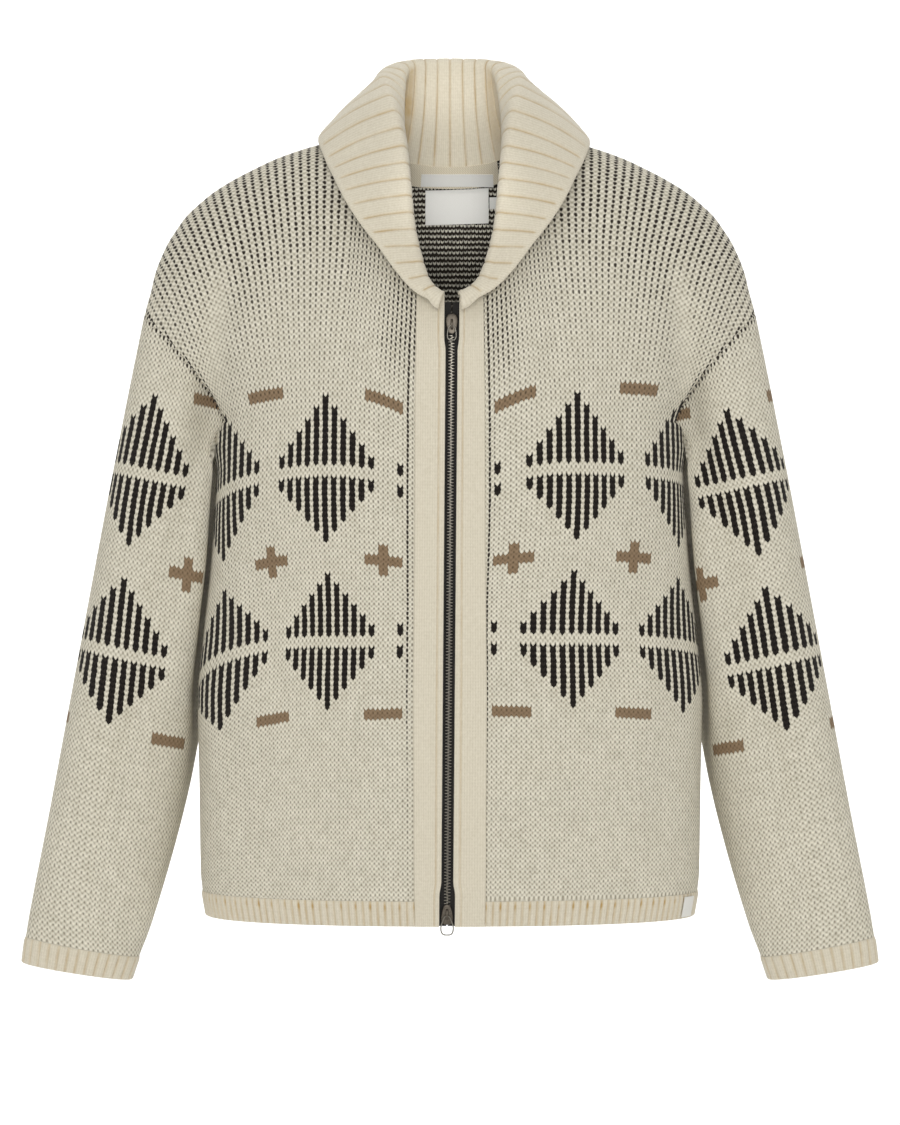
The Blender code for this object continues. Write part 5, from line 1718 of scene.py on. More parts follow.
@dataclass(frozen=True)
class ZipLine:
    """Where the zip runs: its leaning centre line, and the slot between the bands."""

    band_top: float = -0.1425
    top_x: float = 0.0017
    foot_x: float = -0.0026
    half_slot: float = 0.0048
    band_wall: float = 0.0034
    tape_wall: float = 0.0011
    tape_gap: float = 0.0009

    def x(self, heights: Array | float) -> Array:
        """The centre line's x at each height."""
        return self.top_x + (self.foot_x - self.top_x) * (heights - self.band_top) / (HEM - self.band_top)

    def slot(self, heights: Array) -> Array:
        """Half the slot's width, a little more at the sliders."""
        return self.half_slot + 0.0013 * ease((heights + 0.186) / 0.012) + 0.0016 * ease((-0.640 - heights)
                                                                                         / 0.012)

    def edge(self, heights: Array) -> Array:
        """How far from the centre the panel's edge lies at each height.

        Args:
            heights: Where to read it.

        Returns:
            A distance from the centre at each height.
        """
        low = FORM.section(np.minimum(heights, CHEST), FORM.band_wale, Face.FRONT)[:, 0]
        line = FORM.upper(FORM.band_wale, Face.FRONT, np.linspace(0, 1, 80), top=self.band_top + 0.012)
        return np.where(heights <= CHEST, low, np.interp(heights, line[:, 2], line[:, 0]))

    def lay(self, x: Array, heights: Array, back: Array | float) -> Array:
        """Points at each x and height, moved back from the front's surface.

        Args:
            x: Distances from the centre.
            heights: Where to read it.
            back: How far behind the surface.

        Returns:
            One point a place.
        """
        x, heights = np.broadcast_arrays(x, heights)
        depth = FORM.front_depth(x.reshape(-1), heights.reshape(-1)).reshape(x.shape)
        return np.stack([x, depth + back, heights], axis=-1)

    def frame(self, height: float) -> tuple[Array, Array, Array, Array]:
        """The chain's middle at a height, with its ways across, back and up.

        Args:
            height: Where along the chain.

        Returns:
            The middle and the three unit ways.
        """
        near = np.array([height - 0.006, height + 0.006])
        low, high = self.lay(self.x(near), near, 0.0)
        up = unit((high - low) * [0.0, 1.0, 1.0])
        across = np.array([1.0, 0.0, 0.0])
        back = np.cross(up, across)
        here = np.array([height])
        middle = self.lay(self.x(here), here,
                          0.0)[0] + back * (self.band_wall + self.tape_gap + self.tape_wall / 2)
        return middle, across, back, up


ZIP = ZipLine()


@dataclass
class FrontBands:
    """The folded bands beside the zip, each with a pressed crease near its inner edge."""

    wardrobe: Wardrobe
    raise_by: float = 0.0008
    rows: int = 170

    def band(self, side: Side) -> tuple[Cloth, Array]:
        """A band from its panel's edge to the zip's slot.

        Across, its relief is flat but for a dip at the crease and rounded ends; up, it follows the front.

        Args:
            side: The wearer's left or right.

        Returns:
            The cloth, and the share of the wall each point has.
        """
        heights = np.linspace(HEM, ZIP.band_top + 0.008, self.rows)
        inner = ZIP.x(heights) + side.value * ZIP.slot(heights)
        outer = side.value * ZIP.edge(heights)
        width = np.abs(outer - inner)
        crease = 0.0054 / width.mean()
        shares = np.unique(np.concatenate([np.linspace(0, 1, 25), crease + np.linspace(-0.05, 0.05, 9),
                                           [0.01, 0.025, 0.975, 0.99]]))
        grid_x = inner[:, None] + (outer - inner)[:, None] * shares
        dip = np.exp(-((np.abs(shares - crease) * width.mean() / 0.0007) ** 2))
        round_off = np.minimum(1, np.sqrt(np.clip(1 - (1 - shares / 0.06) ** 2, 0, 1)) + (shares > 0.06))
        lift = self.raise_by * (1 - 0.9 * dip) * np.where(shares < 0.06, round_off,
                                                          1) * (1 - ease((shares - 0.96) / 0.04))
        wave = 0.0004 * np.sin(heights * 95.0)[:, None] * np.sin(shares * math.pi)[None, :]
        points = ZIP.lay(grid_x, heights[:, None], -(lift[None, :] + wave))
        wales = shares * 0.027 / RIB_WALE
        stitches = pairs_of(wales[None, :], (heights / RIB_COURSE)[:, None])
        # The pressed crease gets painted shade, carried in the mark of painted shade in the grooves.
        cloth = grid_cloth(points, stitches, 0.0, dip[None, :] * 0.6 * np.ones((self.rows, 1)))
        cloth.normals = unit(cloth.normals * [0.25, 1.0, 0.0])
        full = np.broadcast_to(np.where(shares < 0.02, 0.75, 1.0), (self.rows, len(shares))).reshape(-1)
        return cloth, full

    def dress(self) -> None:
        """Makes both bands in the cream rib knitting."""
        for side in Side:
            cloth, full = self.band(side)
            piece = cloth.shell(f"zip_band_{side.word}", ZIP.band_wall, [self.wardrobe.rib],
                                fullness=full)
            put_on(piece, f"front_band_{side.word}")


@dataclass
class Collar:
    """The shawl collar: one rib piece that stands up, rolls over and falls on the shoulders."""

    wardrobe: Wardrobe
    panels: Panels
    wall: float = 0.0036
    fold: float = 0.0065
    clear: float = 0.0052
    crown: float = 0.011
    ribs: int = 22
    points_a_rib: int = 12
    stand: int = 10
    turn: int = 12
    fall: int = 30
    roll: Table = field(default_factory=lambda: {
        "along": (0.00, 0.10, 0.17, 0.25, 0.35, 0.45, 0.55, 0.65, 0.75, 0.84, 0.92, 1.00),
        "x": (0.0, 0.0260, 0.0410, 0.0460, 0.0460, 0.0455, 0.0430, 0.0400, 0.0367, 0.0305, 0.0226, 0.0080),
        "y": (0.0560, 0.0560, 0.0500, 0.0300, 0.0040, -0.0260, -0.0540, -0.0780, -0.0970, -0.1120, -0.1220,
              -0.1310),
        "z": (0.0870, 0.0865, 0.0830, 0.0700, 0.0480, 0.0200, -0.0100, -0.0420, -0.0750, -0.1040, -0.1260,
              -0.1410)})
    edge: Table = field(default_factory=lambda: {"along": (0.00, 0.10, 0.19, 0.27, 0.34, 0.41, 0.49, 0.57,
                                                           0.65, 0.73, 0.81, 0.88, 0.94, 1.00),
                                                 "x": (0.0, 0.0400, 0.0760, 0.1030, 0.1180, 0.1185, 0.1130,
                                                       0.1050, 0.0960, 0.0820, 0.0660, 0.0500, 0.0330,
                                                       0.0080),
                                                 "y": (0.0930, 0.0900, 0.0780, 0.0480, 0.0080, -0.0260,
                                                       -0.0560, -0.0780, -0.0950, -0.1070, -0.1160,
                                                       -0.1240, -0.1290, -0.1310),
                                                 "z": (-0.0220, -0.0200, -0.0120, 0.0010, 0.0100, 0.0000,
                                                       -0.0160, -0.0330, -0.0520, -0.0750, -0.0960,
                                                       -0.1180, -0.1355, -0.1475)})
    lean: Table = field(default_factory=lambda: {
        "height": (-0.142, -0.126, -0.100, -0.010, 0.020, 0.080),
        "shift": (0.0010, 0.0030, 0.0038, 0.0040, 0.0027, 0.0003)})

    def cloud(self) -> tuple[Array, Array]:
        """Points over the shoulders, chest and upper back, with the way out at each.

        Returns:
            The points, and the ways.
        """
        points, ways = [], []
        for face in Face:
            wales = np.linspace(FORM.band_wale if face is Face.FRONT else 0.0, 50, 50)
            grid = np.stack([FORM.upper(w, face, np.linspace(0, 1, 50)) for w in wales])
            cloth = grid_cloth(grid, np.zeros((50, 50, 2)))
            points.append(cloth.points)
            ways.append(cloth.normals)
        return np.concatenate(points), np.concatenate(ways)

    def laid_clear(self, points: Array, amount: Array, cloud: tuple[Array, Array]) -> Array:
        """Points moved out of the body's nearest surface until they are clear of it.

        Args:
            points: Points, with x, y and z along the last axis.
            amount: How much each point may be moved, from 0 to 1.
            cloud: The surface below, as cloud() gives it.

        Returns:
            The moved points.
        """
        away = points.copy()
        away[:, 0] = np.abs(away[:, 0])
        gap = ((cloud[0][None] - away[:, None]) ** 2).sum(2)
        near = gap.argmin(1)
        ways = cloud[1][near]
        short = self.clear - ((away - cloud[0][near]) * ways).sum(1)
        push = np.where((short > 0) & (gap.min(1) < 0.0025), short, 0.0) * amount
        away = away + ways * push[:, None]
        away[:, 0] = np.copysign(away[:, 0], points[:, 0])
        return away

    def line(self, share: float, side: int, seam: Array, out: Array,
             cloud: tuple[Array, Array]) -> tuple[Array, Array]:
        """The middle of the collar's cloth at one place along it.

        It rises from the neck seam to the roll, turns over it in half a circle, and falls to its edge.

        Args:
            share: How far round from the centre back, from 0 to 1.
            side: One for the left, minus one.
            seam: The point of the neck seam there.
            out: The way out of the cloth there.
            cloud: The surface below, as cloud() gives it.

        Returns:
            The points, and how far up the stand or down the fall each one is, in metres of cloth.
        """
        roll = np.array([float(column(self.roll, k, share)) for k in "xyz"])
        edge = np.array([float(column(self.edge, k, share)) for k in "xyz"])
        early = float(ease(share / 0.2))
        roll[0] += side * float(column(self.lean, "shift", roll[2])) * early
        edge[0] += side * float(column(self.lean, "shift", edge[2])) * early
        edge = self.laid_clear(edge[None], np.ones(1), cloud)[0]
        start = seam - out * WALL / 2
        falling, rising = unit(edge - roll), unit(start - roll)
        under = unit(falling + rising)
        across = unit(out - (out @ under) * under)
        small = min(self.fold, 0.45 * float(np.linalg.norm(start - roll)))
        centre = roll + under * small
        outer = small + self.crown * float(ease((share - 0.06) / 0.12) * ease((0.60 - share) / 0.2))
        low, high = centre - across * small, centre + across * outer
        t = (np.arange(self.stand) / self.stand)[:, None]
        up = start + (low - start) * t - across * 0.004 * np.sin(math.pi * t)
        turn = (math.pi * np.arange(self.turn + 1) / self.turn)[:, None]
        reach = np.where(np.cos(turn) < 0, outer, small)
        over = centre - across * reach * np.cos(turn) - under * small * np.sin(turn)
        t = (np.arange(1, self.fall + 1) / self.fall)[:, None]
        t = 1 - (1 - t) ** 1.15
        bulge = 0.005 * np.sin(math.pi * t) * float(ease(1.15 - share))
        down = high + (edge - high) * t + across * bulge
        down = self.laid_clear(down, ease((t[:, 0] - 0.12) / 0.2), cloud)
        points = np.concatenate([up, over, down])
        points[0] += unit(points[1] - points[0]) * 0.0004
        return points, run_along(points)

    def build(self) -> tuple[Cloth, Array, Array]:
        """The whole collar from the wearer's right front end round to the left one.

        Returns:
            The cloth, the relief of every point, and the share of the wall it has.
        """
        neck = np.concatenate([self.panels.neck_points, [[0.008, 0.0, ZIP.band_top + 0.0060]]])
        neck[-1, 1] = float(FORM.front_depth(np.array([0.008]), np.array([neck[-1, 2]]))[0])
        out = np.concatenate([self.panels.neck_out, [unit([0.1, -1.0, 0.2])]])
        along = run_along(neck)
        places = np.linspace(-1, 1, 2 * self.ribs * self.points_a_rib + 1)
        cloud = self.cloud()
        lines, runs, firsts = [], [], []
        for place in places:
            share, side = abs(place), 1 if place >= 0 else -1
            at = share * along[-1]
            seam = np.array([np.interp(at, along, neck[:, k]) for k in range(3)])
            way = unit([np.interp(at, along, out[:, k]) for k in range(3)])
            line, run = self.line(share, side, seam, way, cloud)
            flip = np.array([side, 1.0, 1.0])
            lines.append(line * flip)
            runs.append(run)
            firsts.append(-way * flip)
        grid, run = np.stack(lines, axis=1), np.stack(runs, axis=1)
        raised, bell = rib_profile(np.abs(places), self.ribs, along[-1] / self.ribs)
        bell = bell * (np.abs(places) < 1 - 0.4 / self.ribs)
        to_edge = run[-1] - run
        fade = ease((to_edge - 0.0026) / 0.0040) * np.ones(grid.shape[:2])
        stitches = pairs_of((places * along[-1] / RIB_WALE)[None, :], run / RIB_COURSE)
        level = np.arange(len(grid))[:, None]
        # Painted shade on the inside of the stand beside the roll, where the roll turns away, deeper on the
        # wearer's right; it joins the painted shade in the grooves.
        corner = ease((np.abs(places) - 0.115) / 0.045) * ease((0.45 - np.abs(places)) / 0.1)
        corner = corner * (1 - ease((level - self.stand + 1) / 4)) * np.where(places < 0, 1.3, 0.6)
        cloth = grid_cloth(grid, stitches, 0.0, np.maximum(bell[None, :] * fade, corner))
        back = self.stand // 2 * len(places) + len(places) // 2
        if cloth.normals[back, 1] > 0:
            cloth.turn_over()
        cloth.normals[:len(places)] = np.array(firsts)
        cloth.points = cloth.points + cloth.normals * self.wall / 2
        full = np.sqrt(np.clip(1 - (1 - np.clip(to_edge / 0.0022, 0, 1)) ** 2, 0.05, 1))
        relief = raised[None, :] * fade + 0.35 * RIB_HEIGHT * (1 - fade)
        return cloth, (relief * full).reshape(-1), full.reshape(-1)

    def dress(self) -> None:
        """Makes the collar in the cream rib knitting."""
        cloth, raised, full = self.build()
        piece = cloth.shell("shawl_collar", self.wall, [self.wardrobe.rib], raised, full, gap=0.0)
        put_on(piece, "collar")


@dataclass
class NeckTrim:
    """The tape over the back neck seam, the bare labels inside the neck, and the one at the hem."""

    wardrobe: Wardrobe
    hem_label_heights: tuple[float, float] = (-0.6765, -0.6590)
    hem_label_wales: tuple[float, float] = (54.6, 58.6)

    @staticmethod
    def patch(low: float, high: float, top: float, foot: float, lift: float, columns: int, rows: int,
              slant: float = 0.0, curl: float = 0.0, rise: float = 0.0) -> Cloth:
        """A patch on the inside of the back.

        Args:
            low: Its least x.
            high: Its greatest x.
            top: The height of its top edge.
            foot: The height of its lower edge.
            lift: How far it stands off the cloth.
            columns: How many points across.
            rows: How many points down.
            slant: How far its right side is higher, as a slope.
            curl: How much further its lower edge stands off.
            rise: How far the neckline it follows has risen where it meets the shoulder.

        Returns:
            The patch, its outer side against the cloth.
        """
        x, z = np.meshgrid(np.linspace(low, high, columns), np.linspace(foot, top, rows))
        z = z + slant * (x - low) + rise * (np.abs(x) / 0.079) ** 2.4
        wales = (0.0, 6.0, 12.0, 18.0, 23.6, 29.2)
        lines = [FORM.upper(w, Face.BACK, np.linspace(0, 1, 10)) for w in wales]
        at = z.reshape(-1)
        xs = np.stack([np.interp(at, line[:, 2], line[:, 0]) for line in lines], axis=1)
        ys = np.stack([np.interp(at, line[:, 2], line[:, 1]) for line in lines], axis=1)
        y = read_rows(xs, ys, np.abs(x).reshape(-1)).reshape(x.shape)
        points = np.stack([x, y, z], axis=2)
        stitches = np.stack([x / 0.002, z / 0.002], axis=2)
        cloth = grid_cloth(points, stitches, inside=(0, 0.5, -0.05))
        share = np.repeat(np.linspace(1, 0, rows), columns)
        cloth.points = cloth.points + cloth.normals * (WALL + lift + curl * share ** 2)[:, None]
        return cloth

    def dress(self) -> None:
        """Makes the tape and the labels."""
        w = self.wardrobe
        tape = self.patch(-0.040, 0.044, -0.0062, -0.0240, 0.0026, 60, 8, rise=0.019)
        self.put(tape, "neck_seam_tape", 0.0009, w.neck_tape, "neck_tape", "cream_rib_knit",
                 (0.084, 0.0235))
        small = self.patch(-0.0270, 0.0400, -0.0114, -0.0216, 0.0038, 40, 8)
        self.put(small, "bare_tape_label", 0.0006, w.label, "neck_tape_label", "white_label_tape",
                 (0.067, 0.0130))
        label = self.patch(-0.0228, 0.0356, -0.0262, -0.0575, 0.0016, 40, 24, 0.03, 0.0008)
        self.put(label, "bare_neck_label", 0.0008, w.label, "neck_label", "white_label_tape",
                 (0.059, 0.033))
        tab = self.patch(0.0364, 0.0440, -0.0330, -0.0430, 0.0016, 8, 10, 0.03)
        self.put(tab, "bare_size_tab", 0.0007, w.label, "size_label", "white_label_tape", (0.0100, 0.0105))
        heights = np.linspace(*self.hem_label_heights, 12)
        grid = np.stack([FORM.section(heights, wale, Face.FRONT)
                         for wale in np.linspace(*self.hem_label_wales, 8)], axis=1)
        hem = grid_cloth(grid, np.zeros((12, 8, 2)))
        hem.points = hem.points + hem.normals * (RIB_HEIGHT + 0.0014)
        self.put(hem, "bare_hem_label", 0.0008, w.label, "hem_label", "white_label_tape", (0.0165, 0.0175))

    @staticmethod
    def put(cloth: Cloth, name: str, wall: float, finish: Material, node: str, slot: str,
            flat: tuple[float, float]) -> None:
        """Args:
            cloth: The piece of cloth.
            name: The object's name.
            wall: The cloth's thickness.
            finish: Its material.
            node: The CAD node it stands for.
            slot: Not used.
            flat: Not used.
        """
        piece = cloth.shell(name, wall, [finish], gap=0.0)
        put_on(piece, node)


@dataclass
class Zip:
    """The two-way zip: woven tapes, interlocked metal teeth, two sliders and their ring pulls."""

    wardrobe: Wardrobe
    tooth_pitch: float = 0.0027
    tape_reach: float = 0.0150
    top_slider: float = -0.1625
    foot_slider: float = -0.6690
    slider_long: float = 0.0175
    slider_wide: float = 0.0052
    plate_wall: float = 0.0012
    space: float = 0.0018
    arch: float = 0.0021
    wire: float = 0.0006
    plate_steps: int = 40
    ring_steps: int = 64
    wire_sides: int = 12

    def tape(self, side: Side) -> Cloth:
        """A flat tape behind its band, from beside the teeth out under the band.

        Args:
            side: The wearer's left or right.

        Returns:
            The tape.
        """
        heights = np.linspace(HEM + 0.0004, ZIP.band_top - 0.0012, 150)
        shares = np.linspace(0, 1, 14)
        inner = ZIP.x(heights) + side.value * 0.0005
        grid_x = inner[:, None] + side.value * (self.tape_reach - 0.0005) * shares
        points = ZIP.lay(grid_x, heights[:, None], ZIP.band_wall + ZIP.tape_gap)
        stitches = pairs_of(shares[None, :] * 12, (heights / 0.002)[:, None])
        return grid_cloth(points, stitches)

    def teeth(self) -> Piece:
        """The chain: one rounded tooth copied up both sides, half a pitch apart, as one mesh.

        A tooth is a block of five rings from its root on the tape to its rounded tip past the centre.

        Returns:
            The object.
        """
        low = self.foot_slider + self.slider_long / 2
        high = self.top_slider - self.slider_long / 2
        count = int((high - low) / self.tooth_pitch)
        lengths = np.array([-0.0028, -0.0024, -0.0008, 0.0006, 0.0011])
        halves = np.array([0.80, 1.0, 1.0, 0.95, 0.55])
        turn = np.arange(8) / 8 * math.tau + math.pi / 8
        c, s = np.cos(turn), np.sin(turn)
        size = outline(c, s, 5.0)
        ring = np.stack([0 * c, 0.00125 * c / size, 0.00056 * s / size], axis=1)
        rings = ring[None] * np.stack([0 * halves + 1, halves, halves], axis=1)[:, None]
        rings[..., 0] = lengths[:, None]
        caps = np.array([[lengths[0], 0, 0], [lengths[-1] + 0.0002, 0, 0]])
        tooth = np.concatenate([rings.reshape(-1, 3), caps])
        quads, _ = grid_quads(5, 8, around=True)
        j = np.arange(0, 8, 2)
        foot = np.stack([np.full(4, 40), (j + 2) % 8, j + 1, j], axis=1)
        tip = np.stack([np.full(4, 41), 32 + j, 32 + j + 1, 32 + (j + 2) % 8], axis=1)
        faces = np.concatenate([quads, foot, tip])
        points, every = [], []
        heights = low + self.tooth_pitch * np.arange(count)
        for sign, shift in ((1, 0.0), (-1, 0.5)):
            at = heights + shift * self.tooth_pitch
            middle = ZIP.lay(ZIP.x(at), at, ZIP.band_wall + ZIP.tape_gap + ZIP.tape_wall / 2)
            rise = unit(np.gradient(middle, axis=0) * [0.0, 1.0, 1.0])
            back = np.cross(rise, [1.0, 0.0, 0.0])
            placed = (middle[:, None] + tooth[None, :, :1] * [[[-sign, 0.0, 0.0]]]
                      + tooth[None, :, 1:2] * back[:, None] + tooth[None, :, 2:] * rise[:, None])
            base = sum(len(p) for p in points)
            turned = faces if sign < 0 else faces[:, ::-1]
            every.append((turned[None] + (np.arange(count) * 42)[:, None, None]).reshape(-1, 4) + base)
            points.append(placed.reshape(-1, 3))
        quads = np.concatenate(every)
        stack = np.concatenate(points)
        return make_mesh("zip_teeth", stack, self.facing(stack, quads, 42), np.zeros((len(quads), 4, 2)),
                         [self.wardrobe.gunmetal], sharp=40.0)

    @staticmethod
    def facing(points: Array, quads: Array, size: int) -> Array:
        """Faces turned so that every copy of a shape faces outwards from its own middle.

        Args:
            points: The points of all the copies.
            quads: Their faces.
            size: How many points a copy has.

        Returns:
            The faces, turned where they need it.
        """
        middles = points.reshape(-1, size, 3).mean(axis=1)
        away = points[quads].mean(axis=1) - middles[quads[:, 0] // size]
        inward = (away * face_ways(points, quads)).sum(1) < 0
        return np.where(inward[:, None], quads[:, ::-1], quads)

    def plate(self, depth: float, thick: float) -> tuple[Array, Array]:
        """A slider's plate: a rounded shield, narrow at its foot, with softened edges.

        Its outline is a rounded rectangle whose width grows with height; five rings round its edge go from
        one face to the other, drawn in at the faces.

        Args:
            depth: Its middle's depth.
            thick: Its thickness.

        Returns:
            Its points and faces.
        """
        turn = np.arange(self.plate_steps) / self.plate_steps * math.tau
        c, s = np.cos(turn), np.sin(turn)
        size = outline(c, s, 3.4)
        z = self.slider_long / 2 * s / size
        x = self.slider_wide * c / size * (0.70 + 0.30 * ease((z / self.slider_long + 0.5) * 1.4))
        rings = []
        for scale, level in ((0.0, -0.5), (0.45, -0.5), (0.88, -0.5), (0.97, -0.36), (1.0, 0.0),
                             (0.97, 0.36), (0.88, 0.5), (0.45, 0.5), (0.0, 0.5)):
            rings.append(np.stack([x * scale, np.full(self.plate_steps, depth + thick * level), z * scale],
                                  axis=1))
        return np.concatenate(rings), grid_quads(len(rings), self.plate_steps, around=True)[0]

    def slider(self, name: str, height: float, upside: int) -> Piece:
        """A slider: two plates, the post that parts the chain, and an arch for the pull.

        Args:
            name: The object's name.
            height: Its middle's height.
            upside: One for an upright slider, minus one for the upside-down one.

        Returns:
            The object.
        """
        plate, space = self.plate_wall, self.space
        parts = [self.plate(-(space + plate / 2), plate), self.plate(space + plate / 2, plate)]
        parts.append(self.tube(np.array([[0, -space - 0.0002, 0.0076], [0, space + 0.0002, 0.0076]]),
                               0.0011, 12))
        t = np.linspace(0, 1, 17)
        path = np.stack([0 * t, -(space + plate - 0.0003) - (self.arch + 0.0006)
                         * np.sin(math.pi * t) ** 0.55, -0.0046 + 0.0082 * t], axis=1)
        parts.append(self.tube(path, 0.00075, 10, 1.4))
        points, quads, base = [], [], 0
        for p, q in parts:
            if ((p[q].mean(1) - p.mean(0)) * face_ways(p, q)).sum() < 0:
                q = q[:, ::-1]
            points.append(p)
            quads.append(q + base)
            base += len(p)
        stack, faces = np.concatenate(points), np.concatenate(quads)
        stack = stack * [1.0, 1.0, float(upside)]
        if upside < 0:
            faces = faces[:, ::-1]
        middle, across, back, up = ZIP.frame(height)
        placed = middle + stack[:, :1] * across + stack[:, 1:2] * back + stack[:, 2:] * up
        return make_mesh(name, placed, faces, np.zeros((len(faces), 4, 2)), [self.wardrobe.slider],
                         sharp=60.0)

    @staticmethod
    def tube(path: Array, radius: float, sides: int, wide: float = 1.0) -> tuple[Array, Array]:
        """A round bar along a path in the middle plane, capped by drawing its end rings to a point.

        Args:
            path: Its middle line.
            radius: Its radius.
            sides: How many sides it has.
            wide: How much wider than thick it is.

        Returns:
            Its points and faces.
        """
        ahead = unit(np.gradient(path, axis=0))
        across = np.array([1.0, 0.0, 0.0])
        normal = np.cross(ahead, across)
        turn = np.arange(sides) / sides * math.tau
        ring = (np.cos(turn)[None, :, None] * across * wide + np.sin(turn)[None, :, None] * normal[:, None])
        body = path[:, None] + ring * radius
        ends = [np.repeat(path[:1, None], sides, axis=1), np.repeat(path[-1:, None], sides, axis=1)]
        grid = np.concatenate([ends[0], body, ends[1]])
        return grid.reshape(-1, 3), grid_quads(len(grid), sides, around=True)[0]

    def pull(self, name: str, height: float, upside: int, top_half: float, half_width: float,
             drop: float) -> Piece:
        """A ring of wire that hangs from a slider's arch: an oval narrowed at its top.

        Args:
            name: The object's name.
            height: The slider's height.
            upside: One for an upright slider, minus one for the upside-down one.
            top_half: Half its width at the top.
            half_width: Half its width at the foot.
            drop: How far it hangs down.

        Returns:
            The object.
        """
        middle, _, back, up = ZIP.frame(height)
        hook = (-0.0035 if upside > 0 else -0.0025) + self.wire + 0.0010
        pivot = middle + back * -(self.space + self.plate_wall + self.arch / 2) + up * hook
        turn = np.arange(self.ring_steps) / self.ring_steps * math.tau
        c, s = np.cos(turn), np.sin(turn)
        size = outline(c, s, 3.2)
        fall = (1 - c / size) / 2
        x = (top_half + (half_width - top_half) * ease(1.5 * fall)) * s / size
        path = np.stack([x, -drop * fall], axis=1)
        ahead = unit(np.roll(path, -1, axis=0) - np.roll(path, 1, axis=0))
        around = np.arange(self.wire_sides) / self.wire_sides * math.tau
        side, front = self.wire * np.cos(around), self.wire * np.sin(around)
        wide = path[:, None, 0] - ahead[:, None, 1] * side
        high = path[:, None, 1] + ahead[:, None, 0] * side
        points = (pivot + wide[..., None] * [1.0, 0.0, 0.0] + high[..., None] * up
                  + front[None, :, None] * np.cross(up, [1.0, 0.0, 0.0]))
        quads, _ = grid_quads(self.ring_steps, self.wire_sides, around=True)
        here = np.arange(self.wire_sides)
        ahead_one, base = (here + 1) % self.wire_sides, (self.ring_steps - 1) * self.wire_sides
        last = np.stack([base + here, base + ahead_one, ahead_one, here], axis=1)
        quads = np.concatenate([quads, last])
        stack = points.reshape(-1, 3)
        centres = np.repeat(pivot + path[:, :1] * [1.0, 0.0, 0.0] + path[:, 1:] * up, self.wire_sides,
                            axis=0)
        if ((stack[quads].mean(1) - centres[quads].mean(1)) * face_ways(stack, quads)).sum() < 0:
            quads = quads[:, ::-1]
        return make_mesh(name, stack, quads, np.zeros((len(quads), 4, 2)), [self.wardrobe.nickel],
                         sharp=80.0)

    def dress(self) -> None:
        """Makes the tapes, the teeth, the sliders and their pulls."""
        for side in Side:
            piece = self.tape(side).shell(f"twill_tape_{side.word}", ZIP.tape_wall,
                                          [self.wardrobe.zip_tape], gap=0.0)
            put_on(piece, f"zip_tape_{side.word}")
        teeth = self.teeth()
        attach(teeth, "garment")
        log.info("%s: %d faces", teeth.name, len(teeth.data.polygons))
        put_on(self.slider("slider_top", self.top_slider, 1), "zip_slider_top")
        put_on(self.slider("slider_bottom", self.foot_slider, -1), "zip_slider_bottom")
        put_on(self.pull("ring_pull_top", self.top_slider, 1, 0.0030, 0.0038, 0.0125),
               "zip_pull_top", "top_pull")
        put_on(self.pull("ring_pull_bottom", self.foot_slider, -1, 0.0032, 0.0054, 0.0165),
               "zip_pull_bottom", "bottom_pull")


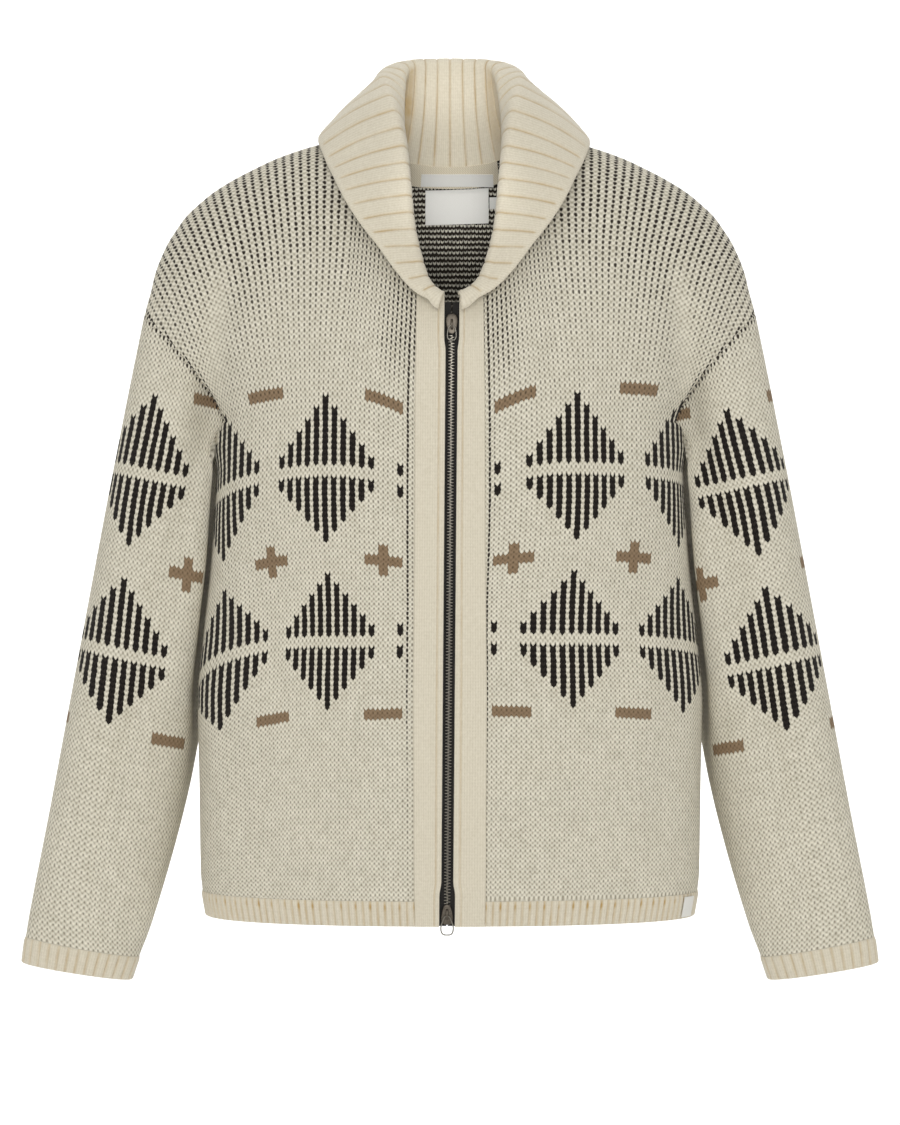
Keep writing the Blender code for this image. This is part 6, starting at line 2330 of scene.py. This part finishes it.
@dataclass
class Studio:
    """A pale sweep, soft lights and the camera, straight on and level with the garment's middle."""

    distance: float = 3.0
    height: float = -0.3667
    lens: float = 108.0
    floor: float = -0.95

    def sweep(self) -> None:
        """A floor that curves up behind into a wall: a profile carried straight across."""
        bend = np.linspace(0, math.pi / 2, 24)
        y = np.concatenate([[-16.0, 4.0], 5.2 + 1.2 * np.sin(bend), [6.4]])
        z = np.concatenate([[0.0, 0.0], 1.2 - 1.2 * np.cos(bend), [12.0]]) + self.floor
        x = np.linspace(-18, 18, 13)
        grid = np.stack(np.broadcast_arrays(x[None, :], y[:, None], z[:, None]), axis=2)
        quads, _ = grid_quads(len(y), len(x))
        n = Nodes("pale_paper_sweep")
        grain = n.add("TexNoise", n.add("TexCoord", out="Object"), Scale=40.0)
        finish = n.finish(n.add("Mix RGBA", grain, to_linear("#fbfbfa"), to_linear("#fefefe")), 0.95)
        piece = make_mesh("studio_floor", grid.reshape(-1, 3), quads[:, ::-1],
                          np.zeros((len(quads), 4, 2)), [finish])

    @staticmethod
    def light(name: str, place: Point, aim: Point, size: float,
              power: float, cone: float | None = None) -> None:
        """A soft light.

        Args:
            name: The light's name.
            place: Where it stands.
            aim: The point it is turned to.
            size: How wide it is.
            power: Its power in watts.
            cone: The angle it shines within, for a lamp with a hood; without one it is a square panel.
        """
        data = bpy.data.lights.new(name, "SPOT" if cone else "AREA")
        data.energy = power
        if cone:
            data.spot_size, data.spot_blend, data.shadow_soft_size = cone, 0.8, size
        else:
            data.shape, data.size = "SQUARE", size
        lamp = bpy.data.objects.new(name, data)
        lamp.location = place
        way = np.array(aim) - np.array(place)
        flat = math.hypot(way[0], way[1])
        lamp.rotation_euler = (math.atan2(flat, -way[2]), 0.0, math.atan2(-way[0], way[1]))
        bpy.context.scene.collection.objects.link(lamp)

    def build(self) -> None:
        """Adds the sweep, the world's even light, the soft lights and the camera."""
        scene = bpy.context.scene
        self.sweep()
        world = bpy.data.worlds.new("studio_world")
        world.use_nodes = True
        world.node_tree.nodes["Background"].inputs[0].default_value = (1.0, 1.0, 1.0, 1.0)
        world.node_tree.nodes["Background"].inputs[1].default_value = 0.65
        scene.world = world
        scene.view_settings.view_transform = "Standard"
        self.light("key_light", (-1.6, -2.6, 1.3), (0.0, 0.0, -0.35), 1.6, 8.0)
        self.light("fill_light", (1.9, -2.4, 0.5), (0.0, 0.0, -0.35), 1.8, 4.0)
        self.light("front_light", (0.0, -3.4, 0.30), (0.0, 0.0, -0.2), 0.8, 27.0)
        self.light("top_light", (0.0, -0.8, 2.4), (0.0, -0.4, -0.6), 2.0, 6.0)
        self.light("wall_light", (0.0, 3.2, 3.4), (0.0, 5.6, -0.6), 2.6, 190.0)
        self.light("collar_light", (0.0, -3.0, -0.10), (0.0, 0.07, 0.050), 0.03, 150.0, math.radians(2.1))
        self.light("label_light", (0.0, -3.0, -0.10), (0.004, 0.07, -0.038), 0.03, 235.0, math.radians(2.1))
        data = bpy.data.cameras.new("front_view")
        data.lens, data.sensor_width = self.lens, 36.0
        data.clip_end = 50.0
        camera = bpy.data.objects.new("front_view", data)
        camera.location = (0.0, -self.distance, self.height)
        camera.rotation_euler = (math.pi / 2, 0.0, 0.0)
        scene.collection.objects.link(camera)
        scene.camera = camera


def main() -> None:
    """Builds the garment piece by piece, then the studio."""
    logging.basicConfig(level=logging.INFO, format="%(name)s %(message)s")
    wardrobe = Wardrobe.make()
    panels = Panels(wardrobe)
    panels.dress()
    for part in (Ribs(wardrobe), FrontBands(wardrobe), Collar(wardrobe, panels), NeckTrim(wardrobe),
                 Zip(wardrobe)):
        part.dress()
    Studio().build()


if __name__ == "__main__":
    main()
